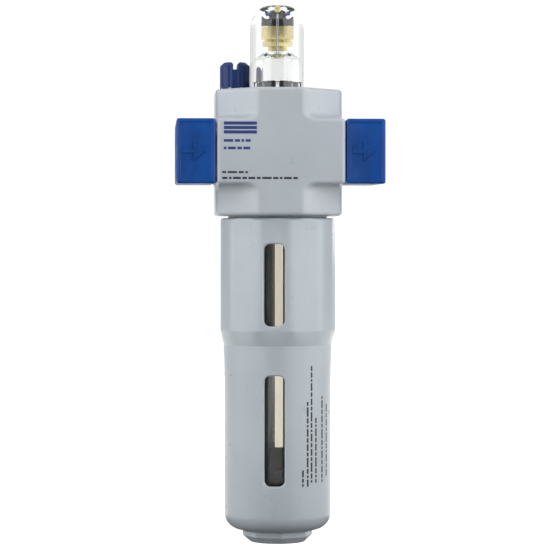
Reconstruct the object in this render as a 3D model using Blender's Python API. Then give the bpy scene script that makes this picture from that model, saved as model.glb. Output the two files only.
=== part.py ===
"""Mist lubricator for compressed-air lines, as an assembly of separate pieces.

A cast housing carries a clear sight dome and a filler screw on top, a bolted connecting plate on
each side, and a plastic oil bowl inside a screwed metal guard below. Metres, +Z up. Air flows
along +X, the origin is the centre of the inlet port's mouth, and the front faces -Y.
"""

import math

import bmesh
import bpy
from mathutils import Matrix, Vector

# Driving dimensions. Heights are measured from the flow axis, radii from each piece's own axis.
WIDTH_OVER_PLATES = 0.064
GAP = 0.0003  # between pieces that touch
ROUND = 36  # sides of a large round
SMALL_ROUND = 18  # sides of a small round

# Housing: an octagonal block with a square band at port height
HOUSING_HALF_X = 0.0197
HOUSING_HALF_Y = 0.020
HOUSING_HALF_Z = 0.0196
BAND_HALF_Z = 0.010
FRONT_FLAT_HALF = 0.0075
SIDE_FLAT_HALF = 0.008
HOUSING_EDGE = 0.0012
FLOW_R = 0.005

# Connecting plates
PLATE_INNER_X = HOUSING_HALF_X + GAP
PLATE_OUTER_X = WIDTH_OVER_PLATES / 2
PLATE_HALF_Y = 0.0198
PLATE_HALF_Z = 0.010
PLATE_EDGE = 0.0007
PORT_R = 0.0061
PORT_MOUTH_R = 0.0069
PORT_DEPTH = 0.009
PLATE_SEAL_R = 0.0075
PLATE_SEAL_SECTION_R = 0.0008
PLATE_SCREW_Y = 0.0145
PLATE_SCREW_Z = 0.0054
SCREW_HEAD_R = 0.0035
SCREW_HEAD_HEIGHT = 0.0038
SCREW_SHANK_R = 0.0019
SCREW_SHANK_LENGTH = 0.0149
SCREW_SOCKET_FLATS = 0.003
COUNTERBORE_DEPTH = 0.0044

# Sight dome and the drip gear inside it
DOME_R = 0.0086
DOME_TOP_Z = 0.046
DOME_BOTTOM_Z = 0.0132
DOME_CAVITY_R = 0.005
DOME_BORE_R = 0.0035
DOME_RECESS_R = 0.0089
DOME_RECESS_FLOOR_Z = 0.0126
OIL_CHANNEL_R = 0.0004
OIL_CHANNEL_RADIUS = 0.0064
OIL_CHANNEL_ANGLE = math.radians(-3.5)
ADJUSTER_R = 0.0032
ADJUSTER_Z = 0.0332  # shoulder between the adjuster's body and its needle
ADJUSTER_SEAL_Z = 0.0405
DRIP_CUP_R = 0.0047
DRIP_CUP_TOP_Z = 0.0225
DRIP_STEM_R = 0.0014

# Filler screw
FILLER_X = -0.0132
FILLER_Y = 0.0039
FILLER_HEAD_R = 0.0047
FILLER_TOP_Z = 0.02865
FILLER_SHANK_R = 0.0029
FILLER_HOLE_FLOOR_Z = 0.0105
FILLER_FLUTES = 8

# Venturi and bypass flap, in the flow bore
VENTURI_R = 0.0047
VENTURI_FROM_X = -0.007
VENTURI_TO_X = 0.0062
FLAP_HINGE_X = 0.007
FLAP_HINGE_Z = 0.00285
FLAP_R = 0.0043
FLAP_SHOULDER = 0.0015  # how far below its pin the flap widens
FLAP_TAB_HALF = 0.0021

# Bowl guard: flat-sided above, round below, with an octagonal spanner stub
BOWL_SEAT_TURN = math.radians(-6.8)  # where the screwed guard comes to rest
GUARD_RIM_Z = -0.0203
GUARD_R = 0.01825
GUARD_CORNER_R = 0.0186  # where the flat sides would meet, if their corners were sharp
WINDOW_COUNT = 3
FLAT_SIDES = ((-16, 16), (16, 50.5), (50.5, 69.5), (69.5, 104))  # degrees from a window's middle
GUARD_STEP_Z = -0.0552
GUARD_LOWER_Z = -0.0598
GUARD_LOWER_R = 0.0166
GUARD_BASE_Z = -0.1128
GUARD_STUB_Z = -0.1178
GUARD_BOTTOM_Z = -0.12135
GUARD_BORE_R = 0.014
NECK_R = 0.0154
NECK_TOP_Z = -0.0146
STUB_R = 0.011
STUB_SIDES = 8
STUB_TURN = math.radians(10.3)
STUB_HOLE_R = 0.0056
UPPER_WINDOW = (0.0065, -0.0284, -0.0537)  # width, top, bottom
LOWER_WINDOW = (0.0063, -0.06895, -0.1029)
WINDOW_CORNER_R = 0.0019

# Oil bowl and the recess that takes it
BOWL_R = 0.0136
BOWL_BORE_R = 0.012
BOWL_FLANGE_R = 0.0152
BOWL_TOP_Z = -0.0129
BOWL_NOSE_Z = -0.1205
BOWL_SEAL_RADIUS = 0.0139
BOWL_SEAL_SECTION_R = 0.00075
BOWL_RECESS_R = 0.0158
BOWL_RECESS_Z = -0.011

# Oil pick-up
SIPHON_X = 0.00045
ADAPTER_R = 0.0084
ADAPTER_TOP_Z = -0.0088
ADAPTER_POCKET_R = 0.0087
ADAPTER_POCKET_Z = -0.0085
ADAPTER_BOSS_R = 0.0032
RISER_Y = -0.007
RISER_R = 0.001
SIPHON_TUBE_R = 0.00125
SIPHON_BORE_R = 0.0007
FILTER_R = 0.00285
FILTER_TOP_Z = -0.0919
FILTER_BOTTOM_Z = -0.0991
CHECK_BALL_R = 0.0012
CHECK_BALL_Z = -0.01045

# Check valve that pressurises the bowl
VALVE_X = -0.0108
VALVE_R = 0.0016
VALVE_SEAT_Z = -0.0062
VALVE_BALL_Z = -0.0073
VALVE_SPRING_R = 0.001
VALVE_WIRE_R = 0.00015
VALVE_SPRING_TOP_Z = -0.0087
VALVE_SPRING_BOTTOM_Z = -0.0101
VALVE_SPRING_TURNS = 2.5


# --- tools ---------------------------------------------------------------------------------------
def clear_scene():
    for thing in list(bpy.data.objects):
        bpy.data.objects.remove(thing, do_unlink=True)


def material(name, colour, roughness, metallic=0.0, transmission=0.0):
    paint = bpy.data.materials.new(name)
    paint.use_nodes = True
    shader = paint.node_tree.nodes["Principled BSDF"]
    shader.inputs["Base Color"].default_value = (*colour, 1.0)
    shader.inputs["Roughness"].default_value = roughness
    shader.inputs["Metallic"].default_value = metallic
    shader.inputs["Transmission Weight"].default_value = transmission
    paint.diffuse_color = (*colour, 1.0 - 0.6 * transmission)
    return paint


def empty(name, place, parent=None, turn=0.0):
    holder = bpy.data.objects.new(name, None)
    holder.location = place
    holder.rotation_euler = (0.0, 0.0, turn)
    holder.parent = parent
    bpy.context.scene.collection.objects.link(holder)
    return holder


def finish_mesh(name, bm):
    """The mesh of a closed shape, its faces all pointing out."""
    bm.normal_update()
    bmesh.ops.recalc_face_normals(bm, faces=bm.faces)
    if bm.calc_volume(signed=True) < 0:
        bmesh.ops.reverse_faces(bm, faces=bm.faces)
    mesh = bpy.data.meshes.new(name)
    bm.to_mesh(mesh)
    bm.free()
    mesh.shade_smooth()
    mesh.set_sharp_from_angle(angle=math.radians(35))
    return mesh


def add(name, mesh, paint, parent, place=(0, 0, 0), turn=(0, 0, 0)):
    """A piece of the assembly."""
    piece = bpy.data.objects.new(name, mesh)
    if not mesh.materials:
        mesh.materials.append(paint)
    piece.location = place
    piece.rotation_euler = turn
    piece.parent = parent
    bpy.context.scene.collection.objects.link(piece)
    return piece


def combine(piece, shape, operation="DIFFERENCE", place=(0, 0, 0), turn=(0, 0, 0)):
    """Cuts a mesh out of a piece, or joins it on; the mesh lies in the piece's parent's frame."""
    cutter = bpy.data.objects.new("cutter", shape)
    cutter.location = place
    cutter.rotation_euler = turn
    cutter.parent = piece.parent
    cutter.hide_render = True
    cutter.display_type = "WIRE"
    bpy.context.scene.collection.objects.link(cutter)
    boolean = piece.modifiers.new(operation.title(), "BOOLEAN")
    boolean.operation = operation
    boolean.solver = "EXACT"
    boolean.object = cutter


def ring(bm, radius, height, angles):
    """One ring of a turned shape. The radius may be a function of the angle."""
    if radius == 0:
        return [bm.verts.new((0.0, 0.0, height))]
    points = []
    for angle in angles:
        reach = radius(angle) if callable(radius) else radius
        points.append(bm.verts.new((reach * math.sin(angle), -reach * math.cos(angle), height)))
    return points


def skin(bm, low, high):
    """Faces between two rings, either of which may be a single point."""
    count = max(len(low), len(high))
    if count == 1:
        return
    for k in range(count):
        corners = []
        for vert in (
            low[k % len(low)],
            low[(k + 1) % len(low)],
            high[(k + 1) % len(high)],
            high[k % len(high)],
        ):
            if vert not in corners:
                corners.append(vert)
        bm.faces.new(corners)


def turned(name, outline, sides=ROUND, angles=None):
    """A solid turned about Z from a closed outline of (radius, height) points."""
    bm = bmesh.new()
    angles = angles or [math.tau * k / sides for k in range(sides)]
    rings = [ring(bm, radius, height, angles) for radius, height in outline]
    for low, high in zip(rings, rings[1:] + rings[:1]):
        skin(bm, low, high)
    return finish_mesh(name, bm)


def rod(name, start, end, radius, sides=SMALL_ROUND):
    """A plain round bar between two points."""
    start = Vector(start)
    reach = Vector(end) - start
    bm = bmesh.new()
    bmesh.ops.create_cone(
        bm, cap_ends=True, segments=sides, radius1=radius, radius2=radius, depth=reach.length
    )
    place = Matrix.Translation(start + reach / 2) @ reach.to_track_quat("Z", "Y").to_matrix().to_4x4()
    bm.transform(place)
    return finish_mesh(name, bm)


def box(name, low, high):
    bm = bmesh.new()
    bmesh.ops.create_cube(bm, size=1.0)
    low = Vector(low)
    size = Vector(high) - low
    bm.transform(Matrix.Translation(low + size / 2) @ Matrix.Diagonal((*size, 1.0)))
    return finish_mesh(name, bm)


def prism(name, outline, low, high):
    """An outline of (x, y) points, extruded along Z."""
    bm = bmesh.new()
    base = [bm.verts.new((x, y, low)) for x, y in outline]
    top = [bm.verts.new((x, y, high)) for x, y in outline]
    skin(bm, base, top)
    bm.faces.new(base)
    bm.faces.new(top)
    return finish_mesh(name, bm)


def rounded_rectangle(width, height, corner, steps=3):
    """The (x, y) outline of a rectangle with round corners."""
    points = []
    for quarter in range(4):
        turn = math.pi / 2 * quarter
        x = (width / 2 - corner) * (1 if quarter in (0, 3) else -1)
        y = (height / 2 - corner) * (1 if quarter in (0, 1) else -1)
        for step in range(steps + 1):
            angle = turn + math.pi / 2 * step / steps
            points.append((x + corner * math.cos(angle), y + corner * math.sin(angle)))
    return points


def ball(name, radius):
    bm = bmesh.new()
    bmesh.ops.create_uvsphere(bm, u_segments=12, v_segments=8, radius=radius)
    return finish_mesh(name, bm)


def seal_ring(name, radius, section, sides=24, section_sides=6):
    """A round-section ring lying flat about Z."""
    outline = []
    for k in range(section_sides):
        angle = math.tau * k / section_sides
        outline.append((radius + section * math.cos(angle), section * math.sin(angle)))
    return turned(name, outline, sides)


def bevelled(piece, width, segments=2):
    bevel = piece.modifiers.new("Edges", "BEVEL")
    bevel.width = width
    bevel.segments = segments
    bevel.limit_method = "ANGLE"
    bevel.angle_limit = math.radians(30)
    return piece


# --- housing -------------------------------------------------------------------------------------
def housing_block():
    """The octagonal block, whose diagonal sides give way to square corners along the band."""
    right = [(FRONT_FLAT_HALF, -HOUSING_HALF_Y), (HOUSING_HALF_X, -SIDE_FLAT_HALF)]
    right += [(HOUSING_HALF_X, SIDE_FLAT_HALF), (FRONT_FLAT_HALF, HOUSING_HALF_Y)]
    octagon = right + [(-x, y) for x, y in reversed(right)]
    levels = (-HOUSING_HALF_Z, -BAND_HALF_Z, BAND_HALF_Z, HOUSING_HALF_Z)
    bm = bmesh.new()
    rings = [[bm.verts.new((x, y, z)) for x, y in octagon] for z in levels]
    for level, (low, high) in enumerate(zip(rings, rings[1:])):
        for k in range(8):
            after = (k + 1) % 8
            is_corner = k % 2 == 0 and level == 1
            if not is_corner:
                bm.faces.new((low[k], low[after], high[after], high[k]))
                continue
            x = math.copysign(HOUSING_HALF_X, octagon[k][0])
            y = math.copysign(HOUSING_HALF_Y, octagon[k][1])
            foot = bm.verts.new((x, y, -BAND_HALF_Z))
            head = bm.verts.new((x, y, BAND_HALF_Z))
            bm.faces.new((low[k], foot, head, high[k]))
            bm.faces.new((foot, low[after], high[after], head))
            bm.faces.new((low[after], foot, low[k]))
            bm.faces.new((high[k], head, high[after]))
    bm.faces.new(rings[0])
    bm.faces.new(rings[-1])
    bmesh.ops.recalc_face_normals(bm, faces=bm.faces)
    bmesh.ops.dissolve_limit(
        bm, angle_limit=math.radians(1), verts=bm.verts, edges=bm.edges, use_dissolve_boundaries=False
    )
    return finish_mesh("housing", bm)


def add_housing(parent, paint):
    housing = bevelled(add("housing", housing_block(), paint, parent), HOUSING_EDGE)
    past = 0.001  # a cutter's reach beyond the surface it opens
    end = HOUSING_HALF_X + past
    filler_hole = (FILLER_X, FILLER_Y)
    holes = [
        ("flow_bore", (-end, 0, 0), (end, 0, 0), FLOW_R, ROUND),
        (
            "dome_recess",
            (0, 0, DOME_RECESS_FLOOR_Z),
            (0, 0, HOUSING_HALF_Z + past),
            DOME_RECESS_R,
            ROUND,
        ),
        (
            "bowl_recess",
            (0, 0, -HOUSING_HALF_Z - past),
            (0, 0, BOWL_RECESS_Z),
            BOWL_RECESS_R,
            ROUND,
        ),
        (
            "adapter_pocket",
            (0, 0, BOWL_RECESS_Z - past),
            (0, 0, ADAPTER_POCKET_Z),
            ADAPTER_POCKET_R,
            ROUND,
        ),
        ("riser", (0, RISER_Y, ADAPTER_POCKET_Z - past), (0, RISER_Y, 0.0132), RISER_R, 12),
        ("drip_hole", (0, 0, 0), (0, 0, 0.0132), DRIP_STEM_R + GAP, SMALL_ROUND),
        (
            "filler_hole",
            (*filler_hole, FILLER_HOLE_FLOOR_Z),
            (*filler_hole, HOUSING_HALF_Z + past),
            FILLER_SHANK_R + GAP,
            SMALL_ROUND,
        ),
        (
            "filler_counterbore",
            (*filler_hole, 0.0181),
            (*filler_hole, HOUSING_HALF_Z + past),
            0.0043,
            24,
        ),
        ("filler_passage", (-0.0125, 0.0052, 0.012), (-0.0065, 0.0085, -0.012), 0.0013, 12),
        (
            "valve_chamber",
            (VALVE_X, 0, BOWL_RECESS_Z - past),
            (VALVE_X, 0, VALVE_SEAT_Z),
            VALVE_R,
            16,
        ),
        ("valve_orifice", (VALVE_X, 0, VALVE_SEAT_Z - past), (VALVE_X, 0, -0.003), 0.0006, 12),
    ]
    for side in (-1, 1):
        for y in (-PLATE_SCREW_Y, PLATE_SCREW_Y):
            for z in (-PLATE_SCREW_Z, PLATE_SCREW_Z):
                holes.append(
                    ("screw_hole", (side * 0.0125, y, z), (side * end, y, z), SCREW_SHANK_R + GAP, 12)
                )
    for name, start, stop, radius, sides in holes:
        combine(housing, rod(name, start, stop, radius, sides))
    return housing


# --- connecting plates ---------------------------------------------------------------------------
def add_plate(name, parent, paint):
    """A plate whose outer face is at +X of its holder; the inlet's holder is turned half round."""
    slab = box(
        name,
        (PLATE_INNER_X, -PLATE_HALF_Y, -PLATE_HALF_Z),
        (PLATE_OUTER_X, PLATE_HALF_Y, PLATE_HALF_Z),
    )
    plate = bevelled(add(name, slab, paint, parent), PLATE_EDGE, 1)
    port = [
        (0, PLATE_INNER_X - 0.001),
        (FLOW_R, PLATE_INNER_X - 0.001),
        (FLOW_R, PLATE_OUTER_X - PORT_DEPTH),
        (PORT_R, PLATE_OUTER_X - PORT_DEPTH),
        (PORT_R, PLATE_OUTER_X - 0.0008),
        (PORT_MOUTH_R + 0.0002, PLATE_OUTER_X + 0.0002),
        (0, PLATE_OUTER_X + 0.0002),
    ]
    along_x = (0, math.pi / 2, 0)
    combine(plate, turned("port", port, 24), turn=along_x)
    groove_wall = PLATE_SEAL_SECTION_R + 0.0002
    groove = [
        (PLATE_SEAL_R - groove_wall, PLATE_INNER_X - 0.001),
        (PLATE_SEAL_R + groove_wall, PLATE_INNER_X - 0.001),
        (PLATE_SEAL_R + groove_wall, PLATE_INNER_X + 0.0015),
        (PLATE_SEAL_R - groove_wall, PLATE_INNER_X + 0.0015),
    ]
    combine(plate, turned("seal_groove", groove, 24), turn=along_x)
    for y in (-PLATE_SCREW_Y, PLATE_SCREW_Y):
        for z in (-PLATE_SCREW_Z, PLATE_SCREW_Z):
            seat_x = PLATE_OUTER_X - COUNTERBORE_DEPTH
            hole = [
                (0, PLATE_INNER_X - 0.001),
                (SCREW_SHANK_R + GAP, PLATE_INNER_X - 0.001),
                (SCREW_SHANK_R + GAP, seat_x),
                (SCREW_HEAD_R + GAP, seat_x),
                (SCREW_HEAD_R + GAP, PLATE_OUTER_X + 0.001),
                (0, PLATE_OUTER_X + 0.001),
            ]
            combine(plate, turned("screw_seat", hole, 14), place=(0, y, z), turn=along_x)
    return plate


def hexagon(flats):
    """The radius of a hexagonal socket, as a function of the angle."""

    def radius(angle):
        off_centre = (angle + math.pi / 6) % (math.pi / 3) - math.pi / 6
        return flats / 2 / math.cos(off_centre)

    return radius


def socket_screw():
    """A socket-head cap screw along Z, its head's top at the origin."""
    socket = hexagon(SCREW_SOCKET_FLATS)
    tip = SCREW_HEAD_HEIGHT + SCREW_SHANK_LENGTH
    outline = [
        (0, -0.002),
        (socket, -0.002),
        (socket, 0),
        (SCREW_HEAD_R - 0.0003, 0),
        (SCREW_HEAD_R, -0.0003),
        (SCREW_HEAD_R, -SCREW_HEAD_HEIGHT),
        (SCREW_SHANK_R, -SCREW_HEAD_HEIGHT),
        (SCREW_SHANK_R, 0.0004 - tip),
        (SCREW_SHANK_R - 0.0004, -tip),
        (0, -tip),
    ]
    return turned("socket_screw", outline, 12)


def add_side(side, parent, paints, screw_mesh):
    """One connecting plate with its seal and its four screws."""
    add_plate(f"{side}_plate", parent, paints["blue"])
    seal = seal_ring(f"{side}_plate_seal", PLATE_SEAL_R, PLATE_SEAL_SECTION_R)
    seal_x = PLATE_INNER_X + 0.0006
    add(f"{side}_plate_seal", seal, paints["rubber"], parent, (seal_x, 0, 0), (0, math.pi / 2, 0))
    head_x = PLATE_OUTER_X - COUNTERBORE_DEPTH + GAP + SCREW_HEAD_HEIGHT
    number = 0
    for z in (PLATE_SCREW_Z, -PLATE_SCREW_Z):
        for y in (-PLATE_SCREW_Y, PLATE_SCREW_Y):
            number += 1
            name = f"{side}_plate_screw_{number}"
            add(name, screw_mesh, paints["steel"], parent, (head_x, y, z), (0, math.pi / 2, 0))


# --- sight dome ----------------------------------------------------------------------------------
def add_dome(parent, paint):
    outline = [
        (DOME_CAVITY_R, DOME_BOTTOM_Z),
        (DOME_R - 0.0004, DOME_BOTTOM_Z),
        (DOME_R, DOME_BOTTOM_Z + 0.0004),
        (DOME_R, 0.0144),
        (0.0074, 0.0144),
        (0.0074, 0.0162),
        (DOME_R, 0.0162),
        (DOME_R, 0.0387),
        (0.0085, 0.0402),
        (0.0081, 0.0418),
        (0.0071, 0.0430),
        (0.0063, 0.0443),
        (0.0055, 0.0453),
        (0.0046, DOME_TOP_Z),
        (DOME_BORE_R, DOME_TOP_Z),
        (DOME_BORE_R, ADJUSTER_Z - GAP),
        (DOME_CAVITY_R, 0.0295),
    ]
    dome = add("sight_dome", turned("sight_dome", outline), paint, parent)
    x = OIL_CHANNEL_RADIUS * math.sin(OIL_CHANNEL_ANGLE)
    y = -OIL_CHANNEL_RADIUS * math.cos(OIL_CHANNEL_ANGLE)
    combine(dome, rod("oil_channel", (x, y, DOME_BOTTOM_Z - 0.001), (x, y, 0.0405), OIL_CHANNEL_R, 10))
    inner = DOME_BORE_R / OIL_CHANNEL_RADIUS * 0.9
    cross = ((x, y, 0.0365), (x * inner, y * inner, 0.0365))
    combine(dome, rod("oil_cross_channel", *cross, OIL_CHANNEL_R * 0.8, 10))
    seal = turned(
        "sight_dome_seal",
        [(0.0075, 0.0146), (0.0087, 0.0146), (0.0087, 0.0160), (0.0075, 0.0160)],
    )
    return dome, seal


def add_adjuster(parent, paints):
    """The brass drip-rate screw, its origin at its shoulder, and the cone seal above it."""
    top = ADJUSTER_SEAL_Z - ADJUSTER_Z - 0.00015
    outline = [
        (0, -0.0024),
        (0.0008, -0.0024),
        (0.0019, -0.0013),
        (0.0019, 0),
        (0.0028, 0),
        (0.0030, 0.0017),
        (0.0027, 0.0019),
        (ADJUSTER_R, 0.0021),
        (ADJUSTER_R, top),
        (0.0011, top),
        (0.0011, 0.01045),
        (0, 0.01045),
    ]
    screw = add(
        "drip_adjusting_screw",
        turned("drip_adjusting_screw", outline, 24),
        paints["brass"],
        parent,
        (0, 0, ADJUSTER_Z),
    )
    slot = box("driver_slot", (-0.0025, -0.0003, 0.0437 - 0.001), (0.0025, 0.0003, 0.046))
    combine(screw, slot)
    cone = [
        (0.0013, 0),
        (ADJUSTER_R, 0),
        (ADJUSTER_R, 0.0004),
        (0.0017, 0.0020),
        (0.0013, 0.0020),
    ]
    seal = turned("adjusting_screw_seal", cone, 24)
    add("adjusting_screw_seal", seal, paints["rubber"], parent, (0, 0, ADJUSTER_SEAL_Z))


def add_drip_nozzle(parent, paint):
    """A castellated cup in the dome's foot, with a stem that leads the oil into the venturi."""
    floor = DOME_RECESS_FLOOR_Z + 0.0002
    outline = [
        (0.0007, 0.0031),
        (DRIP_STEM_R, 0.0031),
        (DRIP_STEM_R, floor),
        (DRIP_CUP_R, floor),
        (DRIP_CUP_R, DRIP_CUP_TOP_Z),
        (DRIP_CUP_R - 0.0008, DRIP_CUP_TOP_Z),
        (DRIP_CUP_R - 0.0008, floor + 0.0014),
        (0.0007, floor + 0.0009),
    ]
    nozzle = add("drip_nozzle", turned("drip_nozzle", outline, 24), paint, parent)
    for k in range(4):
        bar = box(
            "notch",
            (-0.006, -0.00065, DRIP_CUP_TOP_Z - 0.0022),
            (0.006, 0.00065, DRIP_CUP_TOP_Z + 0.001),
        )
        combine(nozzle, bar, turn=(0, 0, math.pi / 4 * k + OIL_CHANNEL_ANGLE))


# --- filler screw --------------------------------------------------------------------------------
def add_filler(parent, paints):
    """The slotted filler screw, its origin on the housing's top face, and its seal."""
    height = FILLER_TOP_Z - HOUSING_HALF_Z
    foot = FILLER_HOLE_FLOOR_Z + 0.0018 - HOUSING_HALF_Z
    outline = [
        (0, foot),
        (FILLER_SHANK_R - 0.0005, foot),
        (FILLER_SHANK_R, foot + 0.0005),
        (FILLER_SHANK_R, GAP),
        (FILLER_HEAD_R, GAP),
        (FILLER_HEAD_R, height - 0.0013),
        (FILLER_HEAD_R - 0.0004, height - 0.0006),
        (FILLER_HEAD_R - 0.0013, height),
        (0, height),
    ]
    place = (FILLER_X, FILLER_Y, HOUSING_HALF_Z)
    screw = add("filler_screw", turned("filler_screw", outline, 24), paints["blue"], parent, place)
    slot = box(
        "slot",
        (-0.00072, -0.006, height - 0.0024),
        (0.00072, 0.006, height + 0.001),
    )
    combine(screw, slot, place=place)
    for k in range(FILLER_FLUTES):
        angle = math.tau * k / FILLER_FLUTES
        reach = FILLER_HEAD_R + 0.0004
        at = (reach * math.sin(angle), -reach * math.cos(angle))
        flute = rod("flute", (*at, -0.001), (*at, height + 0.001), 0.0007, 10)
        combine(screw, flute, place=place)
    seal = seal_ring("filler_screw_seal", 0.0037, 0.0005, 20)
    add("filler_screw_seal", seal, paints["rubber"], parent, (FILLER_X, FILLER_Y, 0.0190))


# --- venturi and flap ----------------------------------------------------------------------------
def add_venturi(parent, paint):
    outline = [
        (0.0042, VENTURI_FROM_X),
        (VENTURI_R, VENTURI_FROM_X),
        (VENTURI_R, VENTURI_TO_X),
        (0.0036, VENTURI_TO_X),
        (0.0024, 0.002),
        (0.0024, -0.003),
    ]
    insert = add(
        "venturi_insert", turned("venturi_insert", outline, 24), paint, parent, turn=(0, math.pi / 2, 0)
    )
    for side in (-1, 1):
        near, far = sorted((side * 0.0024, side * 0.0030))
        ear = box("ear", (VENTURI_TO_X - 0.0005, near, 0.0020), (0.008, far, 0.00365))
        combine(insert, ear, "UNION")
    pin_hole = rod(
        "pin_hole",
        (FLAP_HINGE_X, -0.004, FLAP_HINGE_Z),
        (FLAP_HINGE_X, 0.004, FLAP_HINGE_Z),
        0.0005,
        12,
    )
    combine(insert, pin_hole)
    combine(insert, rod("drip_inlet", (0, 0, 0), (0, 0, 0.006), DRIP_STEM_R + GAP, SMALL_ROUND))


def add_flap(parent, paint):
    """A D-shaped flap hanging from its own pin; its origin is on the pin's axis."""
    outline = [(-FLAP_TAB_HALF, 0.0005), (-FLAP_TAB_HALF, -FLAP_SHOULDER)]
    corner = math.asin((FLAP_HINGE_Z - FLAP_SHOULDER) / FLAP_R)
    sweep = math.pi + 2 * corner
    steps = 20
    for step in range(steps + 1):
        angle = math.pi - corner + sweep * step / steps
        outline.append((FLAP_R * math.cos(angle), FLAP_R * math.sin(angle) - FLAP_HINGE_Z))
    outline += [(FLAP_TAB_HALF, -FLAP_SHOULDER), (FLAP_TAB_HALF, 0.0005)]
    holder = empty("flap_hinge", (FLAP_HINGE_X, 0, FLAP_HINGE_Z), parent)
    leaf = prism("bypass_flap", outline, -0.00025, 0.00025)
    leaf.transform(Matrix(((0, 0, 1, 0), (1, 0, 0, 0), (0, 1, 0, 0), (0, 0, 0, 1))))
    flap = add("bypass_flap", leaf, paint, holder)
    combine(flap, rod("pin", (0, -0.0029, 0), (0, 0.0029, 0), 0.00035, 12), "UNION")


# --- bowl ----------------------------------------------------------------------------------------
def flat_side(angle):
    """The flat side that an angle lies on, as (from, to), and the angle in the same degrees."""
    pitch = 360 / WINDOW_COUNT
    first = FLAT_SIDES[0][0]
    degrees = (math.degrees(angle) - first) % pitch + first
    for side in FLAT_SIDES:
        if degrees <= side[1] + 1e-6:
            return side, degrees
    return FLAT_SIDES[-1], degrees


def faceted(radius):
    """A ring of the guard: round, but no wider than its flat sides."""

    def reach(angle):
        (low, high), degrees = flat_side(angle)
        apothem = GUARD_CORNER_R * math.cos(math.radians((high - low) / 2))
        return min(radius, apothem / math.cos(math.radians(degrees - (low + high) / 2)))

    return reach


def guard_angles():
    """Angles that include every corner between flat sides."""
    angles = []
    for k in range(WINDOW_COUNT):
        for low, high in FLAT_SIDES:
            parts = round((high - low) / 9)
            for part in range(parts):
                degrees = k * 360 / WINDOW_COUNT + low + (high - low) * part / parts
                angles.append(math.radians(degrees))
    return angles


def guard_outline():
    """The guard's section: its outside from the neck down, then its bore back up."""
    outline = [(NECK_R, NECK_TOP_Z), (NECK_R, GUARD_RIM_Z), (faceted(0.0168), GUARD_RIM_Z)]
    rim = 0.0014  # radius of the rim's round edge
    rim_steps = 2
    for step in range(1, rim_steps + 1):
        angle = math.pi / 2 * step / rim_steps
        radius = GUARD_R - rim + rim * math.sin(angle)
        outline.append((faceted(radius), GUARD_RIM_Z - rim + rim * math.cos(angle)))
    steps = 4
    for step in range(steps + 1):
        share = step / steps
        radius = GUARD_R + share * (0.0168 - GUARD_R)
        outline.append((faceted(radius), GUARD_STEP_Z + share * (GUARD_LOWER_Z - GUARD_STEP_Z)))
    outline += [(GUARD_LOWER_R, -0.0673), (GUARD_LOWER_R, GUARD_BASE_Z)]
    for angle in (0.5, 0.95, 1.35):
        drop = GUARD_STUB_Z - GUARD_BASE_Z
        shrink = GUARD_LOWER_R - STUB_R
        height = GUARD_BASE_Z + drop * math.sin(angle)
        outline.append((GUARD_LOWER_R - shrink * (1 - math.cos(angle)), height))
    outline += [
        (STUB_R - 0.0011, GUARD_STUB_Z),
        (STUB_HOLE_R, GUARD_STUB_Z),
        (STUB_HOLE_R, -0.115),
        (0.009, -0.115),
        (GUARD_BORE_R, -0.1105),
        (GUARD_BORE_R, NECK_TOP_Z),
    ]
    return outline


def stub():
    """The spanner stub: an octagonal ring, chamfered below."""
    outline = [
        (STUB_R, GUARD_STUB_Z + 0.0008),
        (STUB_R, -0.1192),
        (0.0084, GUARD_BOTTOM_Z),
        (STUB_HOLE_R, GUARD_BOTTOM_Z),
        (STUB_HOLE_R, GUARD_STUB_Z + 0.0008),
    ]
    return turned("stub", outline, STUB_SIDES)


def window(size):
    """A round-cornered bar along -Y, to cut one window."""
    width, top, bottom = size
    bar = prism("window", rounded_rectangle(width, top - bottom, WINDOW_CORNER_R), 0.012, 0.02)
    bar.transform(Matrix.Translation((0, 0, (top + bottom) / 2)) @ Matrix.Rotation(math.pi / 2, 4, "X"))
    return bar


def add_guard(parent, paint):
    holder = empty("bowl_seat", (0, 0, 0), parent, BOWL_SEAT_TURN)
    shell = turned("bowl_guard", guard_outline(), angles=guard_angles())
    guard = add("bowl_guard", shell, paint, holder)
    for size in (UPPER_WINDOW, LOWER_WINDOW):
        bar = window(size)
        for k in range(WINDOW_COUNT):
            combine(guard, bar, turn=(0, 0, math.tau * k / WINDOW_COUNT))
    combine(guard, stub(), "UNION", turn=(0, 0, STUB_TURN))


def add_bowl(parent, paints):
    outline = [
        (BOWL_BORE_R, BOWL_TOP_Z),
        (BOWL_FLANGE_R, BOWL_TOP_Z),
        (BOWL_FLANGE_R, NECK_TOP_Z + GAP),
        (BOWL_R, NECK_TOP_Z + GAP),
        (BOWL_R, -0.1085),
        (0.007, -0.113),
        (0.005, -0.113),
        (0.005, BOWL_NOSE_Z),
        (0, BOWL_NOSE_Z),
        (0, -0.1112),
        (0.005, -0.1110),
        (BOWL_BORE_R, -0.1068),
    ]
    add("inner_bowl", turned("inner_bowl", outline, 32), paints["clear"], parent)
    seal = seal_ring("bowl_seal", BOWL_SEAL_RADIUS, BOWL_SEAL_SECTION_R, 32)
    add("bowl_seal", seal, paints["rubber"], parent, (0, 0, -0.01195))


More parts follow.
